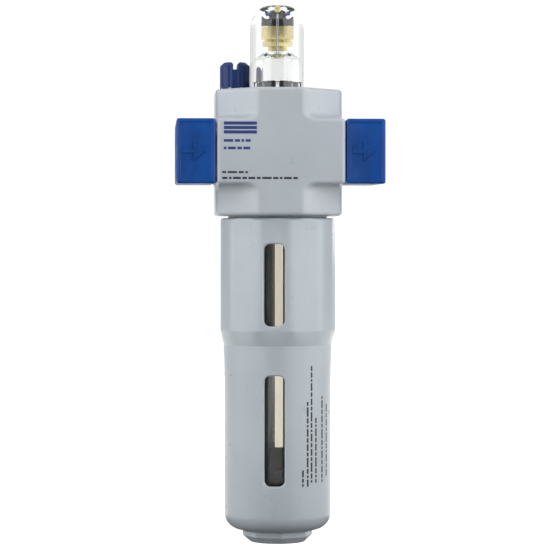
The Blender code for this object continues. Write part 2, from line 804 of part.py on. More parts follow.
# --- oil pick-up and check valves ----------------------------------------------------------------
def add_siphon(parent, paints):
    seat_z = -0.0115
    boss_z = -0.018
    socket_z = -0.0124
    outline = [
        (0, ADAPTER_TOP_Z),
        (ADAPTER_R, ADAPTER_TOP_Z),
        (ADAPTER_R, -0.0123),
        (ADAPTER_BOSS_R + 0.0004, -0.0123),
        (ADAPTER_BOSS_R, -0.0127),
        (ADAPTER_BOSS_R, boss_z),
        (0, boss_z),
    ]
    adapter = add("siphon_adapter", turned("siphon_adapter", outline, 24), paints["plastic"], parent)
    holes = (
        ("ball_chamber", seat_z, ADAPTER_TOP_Z + 0.001, CHECK_BALL_R + GAP),
        ("ball_seat", socket_z - 0.0005, seat_z + 0.0005, SIPHON_BORE_R),
        ("tube_socket", boss_z - 0.001, socket_z, SIPHON_TUBE_R + 0.0002),
    )
    for name, low, high, radius in holes:
        combine(adapter, rod(name, (SIPHON_X, 0, low), (SIPHON_X, 0, high), radius, 16))
    channel = box("channel", (-0.0008, RISER_Y - 0.0008, -0.0100), (0.0008, 0, -0.0078))
    combine(adapter, channel)
    tube = [
        (SIPHON_BORE_R, -0.0947),
        (SIPHON_TUBE_R, -0.0947),
        (SIPHON_TUBE_R, -0.0128),
        (SIPHON_BORE_R, -0.0128),
    ]
    add("siphon_tube", turned("siphon_tube", tube, 16), paints["tube"], parent, (SIPHON_X, 0, 0))
    cartridge = [
        (0, -0.0975),
        (SIPHON_BORE_R, -0.0970),
        (SIPHON_BORE_R, -0.0950),
        (SIPHON_TUBE_R + 0.0002, -0.0950),
        (SIPHON_TUBE_R + 0.0002, FILTER_TOP_Z),
        (FILTER_R - 0.0002, FILTER_TOP_Z),
        (FILTER_R, FILTER_TOP_Z - 0.0002),
        (FILTER_R, FILTER_BOTTOM_Z + 0.0003),
        (FILTER_R - 0.0003, FILTER_BOTTOM_Z),
        (0, FILTER_BOTTOM_Z),
    ]
    sieve = turned("suction_filter", cartridge, 24)
    add("suction_filter", sieve, paints["bronze"], parent, (SIPHON_X, 0, 0))
    check = ball("check_ball", CHECK_BALL_R)
    add("check_ball", check, paints["steel"], parent, (SIPHON_X, 0, CHECK_BALL_Z))


def coil(name, radius, wire, low, high, turns, sides=6, steps_per_turn=12):
    """A round-wire spring about Z, open ended, with flat caps."""
    bm = bmesh.new()
    steps = int(turns * steps_per_turn)
    loops = []
    for step in range(steps + 1):
        angle = math.tau * turns * step / steps
        height = low + wire + (high - low - 2 * wire) * step / steps
        outward = Vector((math.cos(angle), math.sin(angle), 0))
        loop = []
        for k in range(sides):
            around = math.tau * k / sides
            point = outward * (radius + wire * math.cos(around))
            loop.append(bm.verts.new((point.x, point.y, height + wire * math.sin(around))))
        loops.append(loop)
    for near, far in zip(loops, loops[1:]):
        skin(bm, near, far)
    bm.faces.new(loops[0])
    bm.faces.new(loops[-1])
    return finish_mesh(name, bm)


def add_pressure_valve(parent, paints):
    """Spring-loaded ball that lets line pressure into the bowl and checks its return."""
    place = (VALVE_X, 0, 0)
    sphere = ball("pressure_check_ball", CHECK_BALL_R)
    add("pressure_check_ball", sphere, paints["steel"], parent, (VALVE_X, 0, VALVE_BALL_Z))
    spring = coil(
        "pressure_check_spring",
        VALVE_SPRING_R,
        VALVE_WIRE_R,
        VALVE_SPRING_BOTTOM_Z,
        VALVE_SPRING_TOP_Z,
        VALVE_SPRING_TURNS,
    )
    add("pressure_check_spring", spring, paints["steel"], parent, place)
    keeper = [
        (0.0006, BOWL_RECESS_Z),
        (VALVE_R - 0.0001, BOWL_RECESS_Z),
        (VALVE_R - 0.0001, -0.0103),
        (0.0006, -0.0103),
    ]
    ring_mesh = turned("pressure_check_retainer", keeper, 16)
    add("pressure_check_retainer", ring_mesh, paints["brass"], parent, place)


# --- assembly ------------------------------------------------------------------------------------
def make_paints():
    return {
        "grey": material("cast_grey_paint", (0.45, 0.49, 0.53), 0.35),
        "blue": material("blue_nylon", (0.012, 0.075, 0.28), 0.35),
        "clear": material("clear_polycarbonate", (0.95, 0.96, 0.95), 0.05, transmission=1.0),
        "brass": material("brass", (0.80, 0.66, 0.30), 0.3, 1.0),
        "bronze": material("sintered_bronze", (0.18, 0.11, 0.05), 0.8, 0.6),
        "rubber": material("black_rubber", (0.02, 0.02, 0.02), 0.6),
        "steel": material("zinc_steel", (0.6, 0.6, 0.62), 0.3, 1.0),
        "plastic": material("dark_plastic", (0.09, 0.10, 0.09), 0.45),
        "tube": material("natural_nylon", (0.75, 0.70, 0.58), 0.35),
    }


def main():
    clear_scene()
    paints = make_paints()
    assembly = empty("assembly", (WIDTH_OVER_PLATES / 2, 0, 0))
    outlet_side = empty("outlet_side", (0, 0, 0), assembly)
    inlet_side = empty("inlet_side", (0, 0, 0), assembly, math.pi)
    add_housing(assembly, paints["grey"])
    screw_mesh = socket_screw()
    add_side("inlet", inlet_side, paints, screw_mesh)
    add_side("outlet", outlet_side, paints, screw_mesh)
    dome_seal = add_dome(assembly, paints["clear"])[1]
    add("sight_dome_seal", dome_seal, paints["rubber"], assembly)
    add_adjuster(assembly, paints)
    add_drip_nozzle(assembly, paints["plastic"])
    add_filler(assembly, paints)
    add_venturi(assembly, paints["plastic"])
    add_flap(assembly, paints["rubber"])
    add_siphon(assembly, paints)
    add_pressure_valve(assembly, paints)
    add_bowl(assembly, paints)
    add_guard(assembly, paints["grey"])


main()
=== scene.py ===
import math

import bmesh
import bpy
import numpy as np
from mathutils import Matrix, Vector


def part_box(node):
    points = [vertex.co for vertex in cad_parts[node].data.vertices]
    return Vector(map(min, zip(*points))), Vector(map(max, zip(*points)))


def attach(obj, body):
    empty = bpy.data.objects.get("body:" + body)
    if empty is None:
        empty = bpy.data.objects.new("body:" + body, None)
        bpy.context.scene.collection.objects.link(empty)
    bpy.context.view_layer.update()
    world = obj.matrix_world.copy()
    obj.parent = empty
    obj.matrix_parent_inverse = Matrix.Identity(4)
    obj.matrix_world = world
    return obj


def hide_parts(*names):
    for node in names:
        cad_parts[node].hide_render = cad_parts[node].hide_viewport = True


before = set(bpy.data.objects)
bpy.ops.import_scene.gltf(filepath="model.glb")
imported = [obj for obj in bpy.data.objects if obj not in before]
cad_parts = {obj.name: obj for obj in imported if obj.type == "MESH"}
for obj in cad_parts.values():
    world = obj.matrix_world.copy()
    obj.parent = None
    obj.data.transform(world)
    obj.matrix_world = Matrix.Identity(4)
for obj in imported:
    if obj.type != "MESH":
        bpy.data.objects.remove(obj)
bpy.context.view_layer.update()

MM = 0.001

HOUSING_LOW, HOUSING_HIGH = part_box("housing")
AXIS = (HOUSING_LOW + HOUSING_HIGH) / 2  # the bowl's axis, at port height
AXIS_X = AXIS.x
GUARD_TURN = math.radians(-6.8)  # where the screwed guard comes to rest
VIEW_TURN = math.radians(-3.5)  # how far round from the front the camera stands
WINDOW_TURNS = [GUARD_TURN + math.tau * k / 3 for k in range(3)]


# --- node helpers ---
RANGE = ("From Min", "From Max", "To Min", "To Max")


class Nodes:
    """A node tree, with the few nodes that the studio and the finishes share."""

    def __init__(self, tree):
        self.tree = tree

    def node(self, kind, **values):
        made = self.tree.nodes.new(kind)
        for key, value in values.items():
            setattr(made, key, value)
        return made

    def link(self, source, target):
        self.tree.links.new(source, target)

    def feed(self, socket, value):
        """Gives a socket another node's output, a number or a plain colour."""
        if isinstance(value, bpy.types.NodeSocket):
            self.link(value, socket)
        elif isinstance(value, (int, float)):
            socket.default_value = value
        else:
            socket.default_value = (*value, 1.0)

    def remap(self, value, *limits, ease="LINEAR"):
        made = self.node("ShaderNodeMapRange", interpolation_type=ease)
        for name, limit in zip(RANGE, limits):
            made.inputs[name].default_value = limit
        self.link(value, made.inputs["Value"])
        return made.outputs["Result"]

    def math(self, operation, a, b=0.0):
        made = self.node("ShaderNodeMath", operation=operation)
        self.feed(made.inputs[0], a)
        self.feed(made.inputs[1], b)
        return made.outputs[0]

    def mix_shaders(self, share, first, second):
        made = self.node("ShaderNodeMixShader")
        for socket, source in zip(made.inputs, (share, first, second)):
            self.link(source, socket)
        return made.outputs[0]


# --- camera, light and studio (metres) ---
CAMERA_DISTANCE = 0.747  # level, from the bowl's axis
CAMERA_HEIGHT = -0.02965
CAMERA_LENS = 154.6  # millimetres, on a 36 mm wide frame
CAMERA_SHIFT = -0.053  # lowers the view and keeps the camera level


def add_camera():
    data = bpy.data.cameras.new("camera")
    data.sensor_width = 36.0
    data.lens = CAMERA_LENS
    data.shift_y = CAMERA_SHIFT
    data.clip_start = 0.01
    data.clip_end = 20.0
    camera = bpy.data.objects.new("camera", data)
    x = AXIS_X + CAMERA_DISTANCE * math.sin(VIEW_TURN)
    camera.location = (x, -CAMERA_DISTANCE * math.cos(VIEW_TURN), CAMERA_HEIGHT)
    camera.rotation_euler = (math.pi / 2, 0.0, VIEW_TURN)
    bpy.context.scene.collection.objects.link(camera)
    bpy.context.scene.camera = camera


def add_back_light():
    """A soft rectangular light above and behind the object, aimed at its middle."""
    bearing, distance, height = math.radians(165.0), 1.4, 0.35
    data = bpy.data.lights.new("softbox_back", "AREA")
    data.shape = "RECTANGLE"
    data.size, data.size_y = 1.2, 0.8
    data.energy = 3.0
    light = bpy.data.objects.new("softbox_back", data)
    middle = Vector((AXIS_X, 0.0, -0.04))
    light.location = middle + Vector((math.sin(bearing), -math.cos(bearing), 0.0)) * distance
    light.location.z = height
    light.rotation_euler = (middle - light.location).to_track_quat("-Z", "Y").to_euler()
    light.visible_camera = False
    light.visible_transmission = False
    bpy.context.scene.collection.objects.link(light)


# Each pair of bearings, in radians round from the camera, is where a change starts and ends.
PANEL_FROM = (0.38, 0.52)
PANEL_TO = (1.70, 1.88)
BACK_FROM = (2.25, 2.50)
CLEAR_TURN = (0.9, 1.9)
# Heights in the sky are the sine of the angle above level.
PANEL_ENDS = (0.62, 0.80)  # above and below the panel's middle
PANEL_SAG = 0.05  # how far that middle is below level
TOP_FROM = (0.45, 0.9)
PANEL_LEFT, PANEL_RIGHT = 2.35, 2.60  # how much brighter the side panels are than the room
ROOM_FRONT, ROOM_GAP, ROOM_BACK, ROOM_TOP = 0.12, 0.12, 0.50, 0.78
CLEAR_FRONT, CLEAR_BACK = 0.35, 0.94  # the room that shows through clear plastic
BACKDROP = 1.05


def add_world():
    """A studio: dark in front, a tall bright panel on each side, a dim back and a bright top.

    Camera rays see a plain white backdrop, and light bent through clear plastic sees a room
    without panels, so the sight dome stays readable.
    """
    world = bpy.data.worlds.new("studio")
    world.use_nodes = True
    bpy.context.scene.world = world
    world.node_tree.nodes.clear()
    sky = Nodes(world.node_tree)

    def fade(value, low, high, start=0.0, end=1.0):
        return sky.remap(value, low, high, start, end, ease="SMOOTHSTEP")

    def background(colour, strength):
        made = sky.node("ShaderNodeBackground")
        sky.feed(made.inputs["Color"], colour)
        sky.feed(made.inputs["Strength"], strength)
        return made.outputs[0]

    turned = sky.node("ShaderNodeMapping")
    turned.inputs["Rotation"].default_value = (0.0, 0.0, -VIEW_TURN)
    sky.link(sky.node("ShaderNodeTexCoord").outputs["Generated"], turned.inputs["Vector"])
    split = sky.node("ShaderNodeSeparateXYZ")
    sky.link(turned.outputs["Vector"], split.inputs[0])
    x, y, z = split.outputs
    round_front = sky.math("ARCTAN2", x, sky.math("MULTIPLY", y, -1.0))
    off_front = sky.math("ABSOLUTE", round_front)
    width = fade(off_front, *PANEL_FROM)
    width = sky.math("MULTIPLY", width, fade(off_front, *PANEL_TO, 1.0, 0.0))
    height = sky.math("ABSOLUTE", sky.math("ADD", z, PANEL_SAG))
    height = fade(height, *PANEL_ENDS, 1.0, 0.0)
    panel = sky.math("MULTIPLY", width, height)
    brightness = fade(round_front, -0.05, 0.05, PANEL_LEFT, PANEL_RIGHT)
    front = fade(off_front, *PANEL_FROM, ROOM_FRONT, ROOM_GAP)
    back = fade(off_front, *BACK_FROM, 0.0, ROOM_BACK - ROOM_GAP)
    top = fade(z, *TOP_FROM, 0.0, ROOM_TOP - ROOM_GAP)
    room = sky.math("ADD", sky.math("ADD", front, back), top)
    with_panels = sky.math("ADD", room, sky.math("MULTIPLY", panel, brightness))
    lit = background((0.965, 0.985, 1.0), with_panels)
    bent = background((0.99, 1.0, 1.0), fade(off_front, *CLEAR_TURN, CLEAR_FRONT, CLEAR_BACK))
    seen = background((1.0, 1.0, 1.0), BACKDROP)
    rays = sky.node("ShaderNodeLightPath").outputs
    shown = sky.mix_shaders(rays["Is Transmission Ray"], lit, bent)
    shown = sky.mix_shaders(rays["Is Camera Ray"], shown, seen)
    sky.link(shown, sky.node("ShaderNodeOutputWorld").inputs["Surface"])


# --- finishes (metres) ---
class Finish(Nodes):
    """A Principled material built up from procedural layers in object space (metres)."""

    def __init__(self, name, colour, roughness, metallic=0.0):
        self.material = bpy.data.materials.new(name)
        self.material.use_nodes = True
        super().__init__(self.material.node_tree)
        self.shader = self.tree.nodes["Principled BSDF"]
        self.set("Base Color", (*colour, 1.0))
        self.set("Roughness", roughness)
        self.set("Metallic", metallic)
        self.material.diffuse_color = (*colour, 1.0)
        self.plain = colour
        self.place = self.node("ShaderNodeTexCoord").outputs["Object"]

    def set(self, socket, value):
        self.shader.inputs[socket].default_value = value

    def stretched(self, scale, shift=(0.0, 0.0, 0.0)):
        mapping = self.node("ShaderNodeMapping")
        mapping.inputs["Location"].default_value = shift
        mapping.inputs["Scale"].default_value = scale
        self.link(self.place, mapping.inputs["Vector"])
        return mapping.outputs["Vector"]

    def noise(self, scale, detail=3.0, stretch=None, distortion=0.0):
        made = self.node("ShaderNodeTexNoise")
        made.inputs["Scale"].default_value = scale
        made.inputs["Detail"].default_value = detail
        made.inputs["Distortion"].default_value = distortion
        place = self.stretched(stretch) if stretch else self.place
        self.link(place, made.inputs["Vector"])
        return made.outputs["Fac"]

    def cells(self, scale):
        made = self.node("ShaderNodeTexVoronoi")
        made.inputs["Scale"].default_value = scale
        self.link(self.place, made.inputs["Vector"])
        return made.outputs["Distance"]

    def blend(self, share, a, b):
        """Mixes two colours, each a socket or a plain colour."""
        made = self.node("ShaderNodeMix", data_type="RGBA")
        self.feed(made.inputs["Factor"], share)
        self.feed(made.inputs[6], a)
        self.feed(made.inputs[7], b)
        return made.outputs[2]

    def mottle(self, source, low, high, first, last):
        """The plain colour times a factor that goes from first to last as the source rises."""
        share = self.remap(source, low, high, 0.0, 1.0)
        return self.blend(share, scaled(self.plain, first), scaled(self.plain, last))

    def edges(self, low=0.5, high=0.6):
        """0 on flat surfaces, 1 on outward edges."""
        geometry = self.node("ShaderNodeNewGeometry")
        return self.remap(geometry.outputs["Pointiness"], low, high, 0.0, 1.0)

    def colour(self, source):
        self.link(source, self.shader.inputs["Base Color"])

    def roughness(self, source, low, high, low_in=0.3, high_in=0.7):
        self.link(self.remap(source, low_in, high_in, low, high), self.shader.inputs["Roughness"])

    def bump(self, layers):
        """Layers of (height, depth in metres, strength), the coarsest first."""
        normal = None
        for height, depth, strength in layers:
            made = self.node("ShaderNodeBump")
            made.inputs["Distance"].default_value = depth
            made.inputs["Strength"].default_value = strength
            self.link(height, made.inputs["Height"])
            if normal:
                self.link(normal, made.inputs["Normal"])
            normal = made.outputs["Normal"]
        self.link(normal, self.shader.inputs["Normal"])


def scaled(colour, factor):
    return tuple(min(1.0, c * factor) for c in colour)


def cast_paint(name, colour, shaded_inside_radius=0.0):
    """Semi-gloss paint over a zinc casting: orange peel, faint mottling, and edges lighter, partly
    as wear and partly as a painted highlight.

    Within the given radius of the bowl's axis, down to the given foot height, the colour is much
    darker: painted shade inside the guard.
    """
    shaded_inside_foot = -0.1160
    f = Finish(name, colour, 0.36)
    broad = f.noise(55.0, 2.0)
    peel = f.noise(1300.0, 2.0)
    speck = f.noise(5200.0, 1.0)
    base = f.mottle(broad, 0.35, 0.65, 0.965, 1.03)
    base = f.blend(f.remap(speck, 0.62, 0.74, 0.0, 0.05), base, scaled(colour, 0.80))
    # edges lighter: partly wear, following the noise, and partly a painted highlight
    worn = f.remap(f.noise(420.0, 4.0), 0.40, 0.62, 0.1, 0.75)
    base = f.blend(f.math("MULTIPLY", f.edges(0.505, 0.56), worn), base, scaled(colour, 1.22))
    # painted shade: the guard's inside is coloured much darker
    if shaded_inside_radius:
        flat = f.stretched((1.0, 1.0, 0.0), (-AXIS_X, 0.0, 0.0))
        reach = f.node("ShaderNodeVectorMath", operation="LENGTH")
        f.link(flat, reach.inputs[0])
        within = f.remap(reach.outputs["Value"], shaded_inside_radius, shaded_inside_radius + 0.0001, 1.0, 0.0)
        parts = f.node("ShaderNodeSeparateXYZ")
        f.link(f.place, parts.inputs[0])
        above = f.remap(parts.outputs["Z"], shaded_inside_foot - 0.0005, shaded_inside_foot, 0.0, 1.0)
        base = f.blend(f.math("MULTIPLY", within, above), base, scaled(colour, 0.42))
    f.colour(base)
    f.roughness(f.noise(240.0, 4.0), 0.27, 0.37)
    f.bump([(broad, 0.00022, 0.22), (peel, 0.000035, 0.42), (speck, 0.000006, 0.35)])
    f.set("Coat Weight", 0.30)
    f.set("Coat Roughness", 0.16)
    return f.material


def moulded_nylon(name, colour):
    """Glass-filled nylon: fine mould grain, faint flow marks, and paler edges that are partly
    rubbed wear and partly a painted highlight.
    """
    f = Finish(name, colour, 0.36)
    flow = f.noise(140.0, 3.0, stretch=(1.0, 1.0, 0.35), distortion=1.5)
    grain = f.noise(3600.0, 2.0)
    fibre = f.noise(2600.0, 1.0, stretch=(1.0, 0.12, 1.0))
    base = f.mottle(flow, 0.35, 0.65, 0.86, 1.12)
    base = f.blend(f.remap(fibre, 0.66, 0.78, 0.0, 0.25), base, scaled(colour, 1.7))
    # paler edges: partly rubbed wear, partly a painted highlight
    f.colour(f.blend(f.math("MULTIPLY", f.edges(0.51, 0.60), 0.5), base, scaled(colour, 2.0)))
    f.roughness(f.noise(500.0, 4.0), 0.30, 0.46)
    f.bump([(flow, 0.00008, 0.25), (grain, 0.000018, 0.55)])
    f.set("Specular IOR Level", 0.26)
    return f.material


def clear_plastic(name, tint, roughness, gloss=0.5):
    """Polycarbonate with faint moulding waves, hairline scratches and dust-dull patches."""
    f = Finish(name, tint, roughness)
    f.set("Transmission Weight", 1.0)
    f.set("IOR", 1.585)
    f.set("Specular IOR Level", gloss)
    haze = f.noise(90.0, 3.0)
    wave = f.noise(70.0, 1.0)
    scratch = f.noise(900.0, 2.0, stretch=(1.0, 1.0, 0.06))
    f.colour(f.mottle(haze, 0.3, 0.7, 1.0, 0.985))
    f.roughness(haze, roughness * 0.6, roughness * 1.8)
    f.bump([(wave, 0.00006, 0.25), (scratch, 0.000003, 0.25)])
    return f.material


def turned_metal(name, colour, roughness):
    """Metal off the lathe: fine rings along its axis, a little tarnish, and brighter edges as a
    painted highlight.
    """
    f = Finish(name, colour, roughness, 1.0)
    rings = f.noise(5200.0, 2.0, stretch=(0.02, 0.02, 1.0))
    tarnish = f.noise(380.0, 4.0)
    base = f.mottle(tarnish, 0.35, 0.7, 1.05, 0.84)
    # painted highlight: edges coloured brighter
    f.colour(f.blend(f.math("MULTIPLY", f.edges(), 0.6), base, scaled(colour, 1.25)))
    f.roughness(tarnish, roughness * 0.8, roughness * 1.35)
    f.bump([(tarnish, 0.00001, 0.3), (rings, 0.000006, 0.6)])
    return f.material


def zinc_plate(name, colour):
    """Bright zinc plate with its soft spangle and handling marks."""
    f = Finish(name, colour, 0.3, 1.0)
    spangle = f.cells(900.0)
    marks = f.noise(700.0, 5.0)
    base = f.mottle(spangle, 0.0, 0.8, 0.9, 1.08)
    f.colour(f.blend(f.remap(marks, 0.62, 0.72, 0.0, 0.4), base, scaled(colour, 0.55)))
    f.roughness(marks, 0.22, 0.42)
    f.bump([(marks, 0.00001, 0.3), (spangle, 0.000006, 0.3)])
    return f.material


def porous_bronze(name, colour):
    """Sintered bronze: small bright grains with dark pores between them."""
    f = Finish(name, colour, 0.62, 0.2)
    grains = f.cells(4200.0)
    patch = f.noise(900.0, 3.0)
    base = f.mottle(grains, 0.10, 0.62, 1.9, 0.22)
    f.colour(f.blend(f.remap(patch, 0.3, 0.7, 0.0, 0.35), base, scaled(colour, 0.6)))
    f.roughness(grains, 0.45, 0.85, 0.1, 0.6)
    f.bump([(f.math("SUBTRACT", 1.0, grains), 0.00005, 0.5), (patch, 0.00003, 0.3)])
    f.set("Specular IOR Level", 0.15)
    return f.material


def soft_rubber(name, colour):
    """Black rubber with a grey bloom."""
    f = Finish(name, colour, 0.55)
    bloom = f.noise(600.0, 4.0)
    skin = f.noise(6000.0, 2.0)
    f.colour(f.blend(f.remap(bloom, 0.45, 0.75, 0.0, 0.6), colour, scaled(colour, 2.6)))
    f.roughness(bloom, 0.42, 0.66)
    f.bump([(bloom, 0.00002, 0.3), (skin, 0.000012, 0.5)])
    return f.material


def moulded_plastic(name, colour):
    """Plain moulded plastic, slightly clouded."""
    f = Finish(name, colour, 0.4)
    cloud = f.noise(260.0, 3.0)
    grain = f.noise(4200.0, 2.0)
    f.colour(f.mottle(cloud, 0.3, 0.7, 0.85, 1.12))
    f.roughness(cloud, 0.32, 0.5)
    f.bump([(cloud, 0.00003, 0.2), (grain, 0.00001, 0.4)])
    return f.material


def glowing_milky_tube(name, colour):
    """Translucent nylon tube with a painted glow: its own colour is also emitted as light, though
    it is no lamp.
    """
    f = Finish(name, colour, 0.32)
    streak = f.noise(420.0, 3.0, stretch=(1.0, 1.0, 0.05))
    body = f.mottle(streak, 0.35, 0.65, 0.9, 1.06)
    f.colour(body)
    # painted glow: the tube's colour is emitted as light, though the tube is no lamp
    f.link(body, f.shader.inputs["Emission Color"])
    f.set("Emission Strength", 0.85)
    f.roughness(streak, 0.26, 0.42)
    f.bump([(streak, 0.00002, 0.4)])
    return f.material


def printed_ink(name, colour):
    """Ink, slightly worn."""
    f = Finish(name, colour, 0.5)
    worn = f.noise(2200.0, 4.0)
    f.colour(f.blend(f.remap(worn, 0.55, 0.8, 0.0, 0.5), colour, scaled(colour, 2.2)))
    f.roughness(worn, 0.4, 0.62)
    f.bump([(worn, 0.000008, 0.4)])
    return f.material


def clear_underside(f):
    """Lets light and the camera pass from below."""
    below = f.node("ShaderNodeNewGeometry").outputs["Backfacing"]
    clear = f.node("ShaderNodeBsdfTransparent").outputs[0]
    either = f.mix_shaders(below, f.shader.outputs[0], clear)
    f.link(either, f.tree.nodes["Material Output"].inputs["Surface"])


def floor_paper(name, colour):
    """Pale studio paper, lit a little from within so that the floor stays even."""
    f = Finish(name, colour, 0.8)
    fibres = f.noise(180.0, 5.0)
    f.colour(f.mottle(fibres, 0.3, 0.7, 1.0, 0.99))
    f.roughness(fibres, 0.72, 0.9)
    f.bump([(fibres, 0.0001, 0.1)])
    f.set("Emission Color", (1.0, 1.0, 1.0, 1.0))
    f.set("Emission Strength", 0.25)
    clear_underside(f)
    return f.material


def painted_shade_card(name, colour):
    """A dark sheet whose only work is painted shade on the object's underside and in its gloss; a
    noise roughens and bumps it.
    """
    f = Finish(name, colour, 0.9)
    card_grain = f.noise(900.0, 3.0)
    f.roughness(card_grain, 0.8, 1.0)
    f.bump([(card_grain, 0.0001, 0.3)])
    clear_underside(f)
    return f.material


def make_finishes():
    # radius within which the guard's inside gets painted shade
    shaded_inside_radius = 0.01425
    return {
        "paint": cast_paint("cast_grey_paint", (0.422, 0.450, 0.480)),
        "guard": cast_paint("guard_grey_paint", (0.412, 0.447, 0.474), shaded_inside_radius),
        "blue": moulded_nylon("blue_nylon", (0.0030, 0.050, 0.225)),
        "knob": moulded_nylon("dark_blue_nylon", (0.0085, 0.029, 0.125)),
        "dome": clear_plastic("clear_dome_plastic", (0.985, 0.99, 0.985), 0.02),
        "bowl": clear_plastic("clear_bowl_plastic", (0.90, 0.92, 0.91), 0.05, 0.2),
        "brass": turned_metal("turned_brass", (0.76, 0.64, 0.29), 0.26),
        "bronze": porous_bronze("sintered_bronze", (0.085, 0.048, 0.015)),
        "rubber": soft_rubber("black_rubber", (0.014, 0.014, 0.015)),
        "zinc": zinc_plate("zinc_steel", (0.62, 0.63, 0.64)),
        "steel": turned_metal("bright_steel", (0.64, 0.64, 0.65), 0.18),
        "plastic": moulded_plastic("olive_black_plastic", (0.055, 0.060, 0.045)),
        # the tube's finish carries a painted glow
        "natural": glowing_milky_tube("natural_nylon", (0.84, 0.76, 0.63)),
        "ink": printed_ink("dark_ink", (0.012, 0.014, 0.02)),
        "blue_ink": printed_ink("blue_ink", (0.014, 0.035, 0.16)),
        "floor": floor_paper("pale_floor", (0.93, 0.93, 0.925)),
        # painted shade: a dark card, unseen by the camera, that darkens the object's underside and
        # reflections
        "card": painted_shade_card("painted_shade_card", (0.10, 0.10, 0.105)),
    }


# --- mesh helpers (millimetres, from the bowl's axis at port height) ---
SHARP = math.radians(32.0)  # faces that meet at more than this angle keep a crisp edge


def finish_mesh(name, bm):
    """A closed mesh in the frame, in metres, its faces pointing out."""
    bm.transform(Matrix.Translation((AXIS_X, AXIS.y, AXIS.z)) @ Matrix.Diagonal((MM, MM, MM, 1.0)))
    bm.normal_update()
    bmesh.ops.recalc_face_normals(bm, faces=bm.faces)
    if bm.calc_volume(signed=True) < 0:
        bmesh.ops.reverse_faces(bm, faces=bm.faces)
    mesh = bpy.data.meshes.new(name)
    bm.to_mesh(mesh)
    bm.free()
    mesh.shade_smooth()
    mesh.set_sharp_from_angle(angle=SHARP)
    return mesh


def add_piece(name, mesh, finish, body, stands_for=()):
    piece = bpy.data.objects.new(name, mesh)
    bpy.context.scene.collection.objects.link(piece)
    mesh.materials.clear()
    mesh.materials.append(finish)
    if stands_for:
        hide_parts(*stands_for)
    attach(piece, body)


def cut_once(mesh, cutter):
    """A new mesh, with one cutter taken out of it."""
    target = bpy.data.objects.new("carving", mesh)
    tool = bpy.data.objects.new("cutter", cutter)
    for thing in (target, tool):
        bpy.context.scene.collection.objects.link(thing)
    boolean = target.modifiers.new("cut", "BOOLEAN")
    boolean.operation = "DIFFERENCE"
    boolean.solver = "EXACT"
    boolean.object = tool
    bpy.context.view_layer.update()
    graph = bpy.context.evaluated_depsgraph_get()
    result = bpy.data.meshes.new_from_object(target.evaluated_get(graph))
    for thing in (target, tool):
        bpy.data.objects.remove(thing, do_unlink=True)
    return result


def mesh_box(mesh):
    points = np.zeros(len(mesh.vertices) * 3)
    mesh.vertices.foreach_get("co", points)
    points = points.reshape(-1, 3)
    return points.min(axis=0), points.max(axis=0)


def carve(mesh, cutters):
    """The mesh with the cutters taken out of it, one after the other.

    Where a cut leaves part of its cutter standing outside, the cutter is nudged and tried again.
    """
    name = mesh.name
    low, high = mesh_box(mesh)
    slack, nudge = 1e-7, Vector((1.7, 2.3, 1.1)) * 1e-6
    for cutter in cutters:
        for attempt in range(6):
            result = cut_once(mesh, cutter)
            new_low, new_high = mesh_box(result)
            if (new_low >= low - slack).all() and (new_high <= high + slack).all():
                break
            cutter.transform(Matrix.Translation(nudge * (attempt + 1)))
        mesh = result
    mesh.name = name
    mesh.shade_smooth()
    mesh.set_sharp_from_angle(angle=SHARP)
    return mesh


def filleted(points, steps=5):
    """Rounds the corners of an open outline of (radius, height, corner radius) points."""
    out = []
    last = len(points) - 1
    for k, (r, z, corner) in enumerate(points):
        here = Vector((r, z))
        if not corner or k in (0, last):
            out.append((r, z))
            continue
        before = Vector(points[k - 1][:2]) - here
        after = Vector(points[k + 1][:2]) - here
        half = before.angle(after) / 2
        reach = min(corner / math.tan(half), before.length * 0.49, after.length * 0.49)
        start = here + before.normalized() * reach
        end = here + after.normalized() * reach
        for step in range(steps + 1):
            t = step / steps
            point = start * (1 - t) ** 2 + here * 2 * t * (1 - t) + end * t**2
            out.append((point.x, point.y))
    return out


def smooth_curve(points, steps=4):
    """A smooth outline through (radius, height) points."""
    ends = [points[0]] + list(points) + [points[-1]]
    out = []
    for k in range(1, len(ends) - 2):
        a, b, c, d = (Vector(ends[k + j]) for j in (-1, 0, 1, 2))
        for step in range(steps):
            t = step / steps
            p = b * 2 + (c - a) * t + (a * 2 - b * 5 + c * 4 - d) * t * t
            p = (p + (b * 3 - a - c * 3 + d) * t**3) / 2
            out.append((p.x, p.y))
    out.append(tuple(points[-1]))
    return out


def bridge(bm, rings):
    """Faces between each ring of corners and the next; a ring may be one corner."""
    for low, high in zip(rings, rings[1:]):
        count = max(len(low), len(high))
        for k in range(count if count > 1 else 0):
            after = k + 1
            corners = [low[k % len(low)], low[after % len(low)]]
            corners += [high[after % len(high)], high[k % len(high)]]
            bm.faces.new(list(dict.fromkeys(corners)))


def lathe(name, outline, sides=96, centre=(0.0, 0.0), shape=None):
    """A turned solid from a closed outline of (radius, height).

    shape(radius, height, angles) may give each corner of a ring its own radius.
    """
    bm = bmesh.new()
    angles = np.arange(sides) * math.tau / sides
    rings = []
    for radius, height in outline:
        if radius <= 1e-9:
            rings.append([bm.verts.new((centre[0], centre[1], height))])
            continue
        reach = np.full(sides, float(radius)) if shape is None else shape(radius, height, angles)
        ring = []
        for r, a in zip(reach, angles):
            spot = (centre[0] + r * math.sin(a), centre[1] - r * math.cos(a), height)
            ring.append(bm.verts.new(spot))
        rings.append(ring)
    bridge(bm, rings + rings[:1])
    return finish_mesh(name, bm)


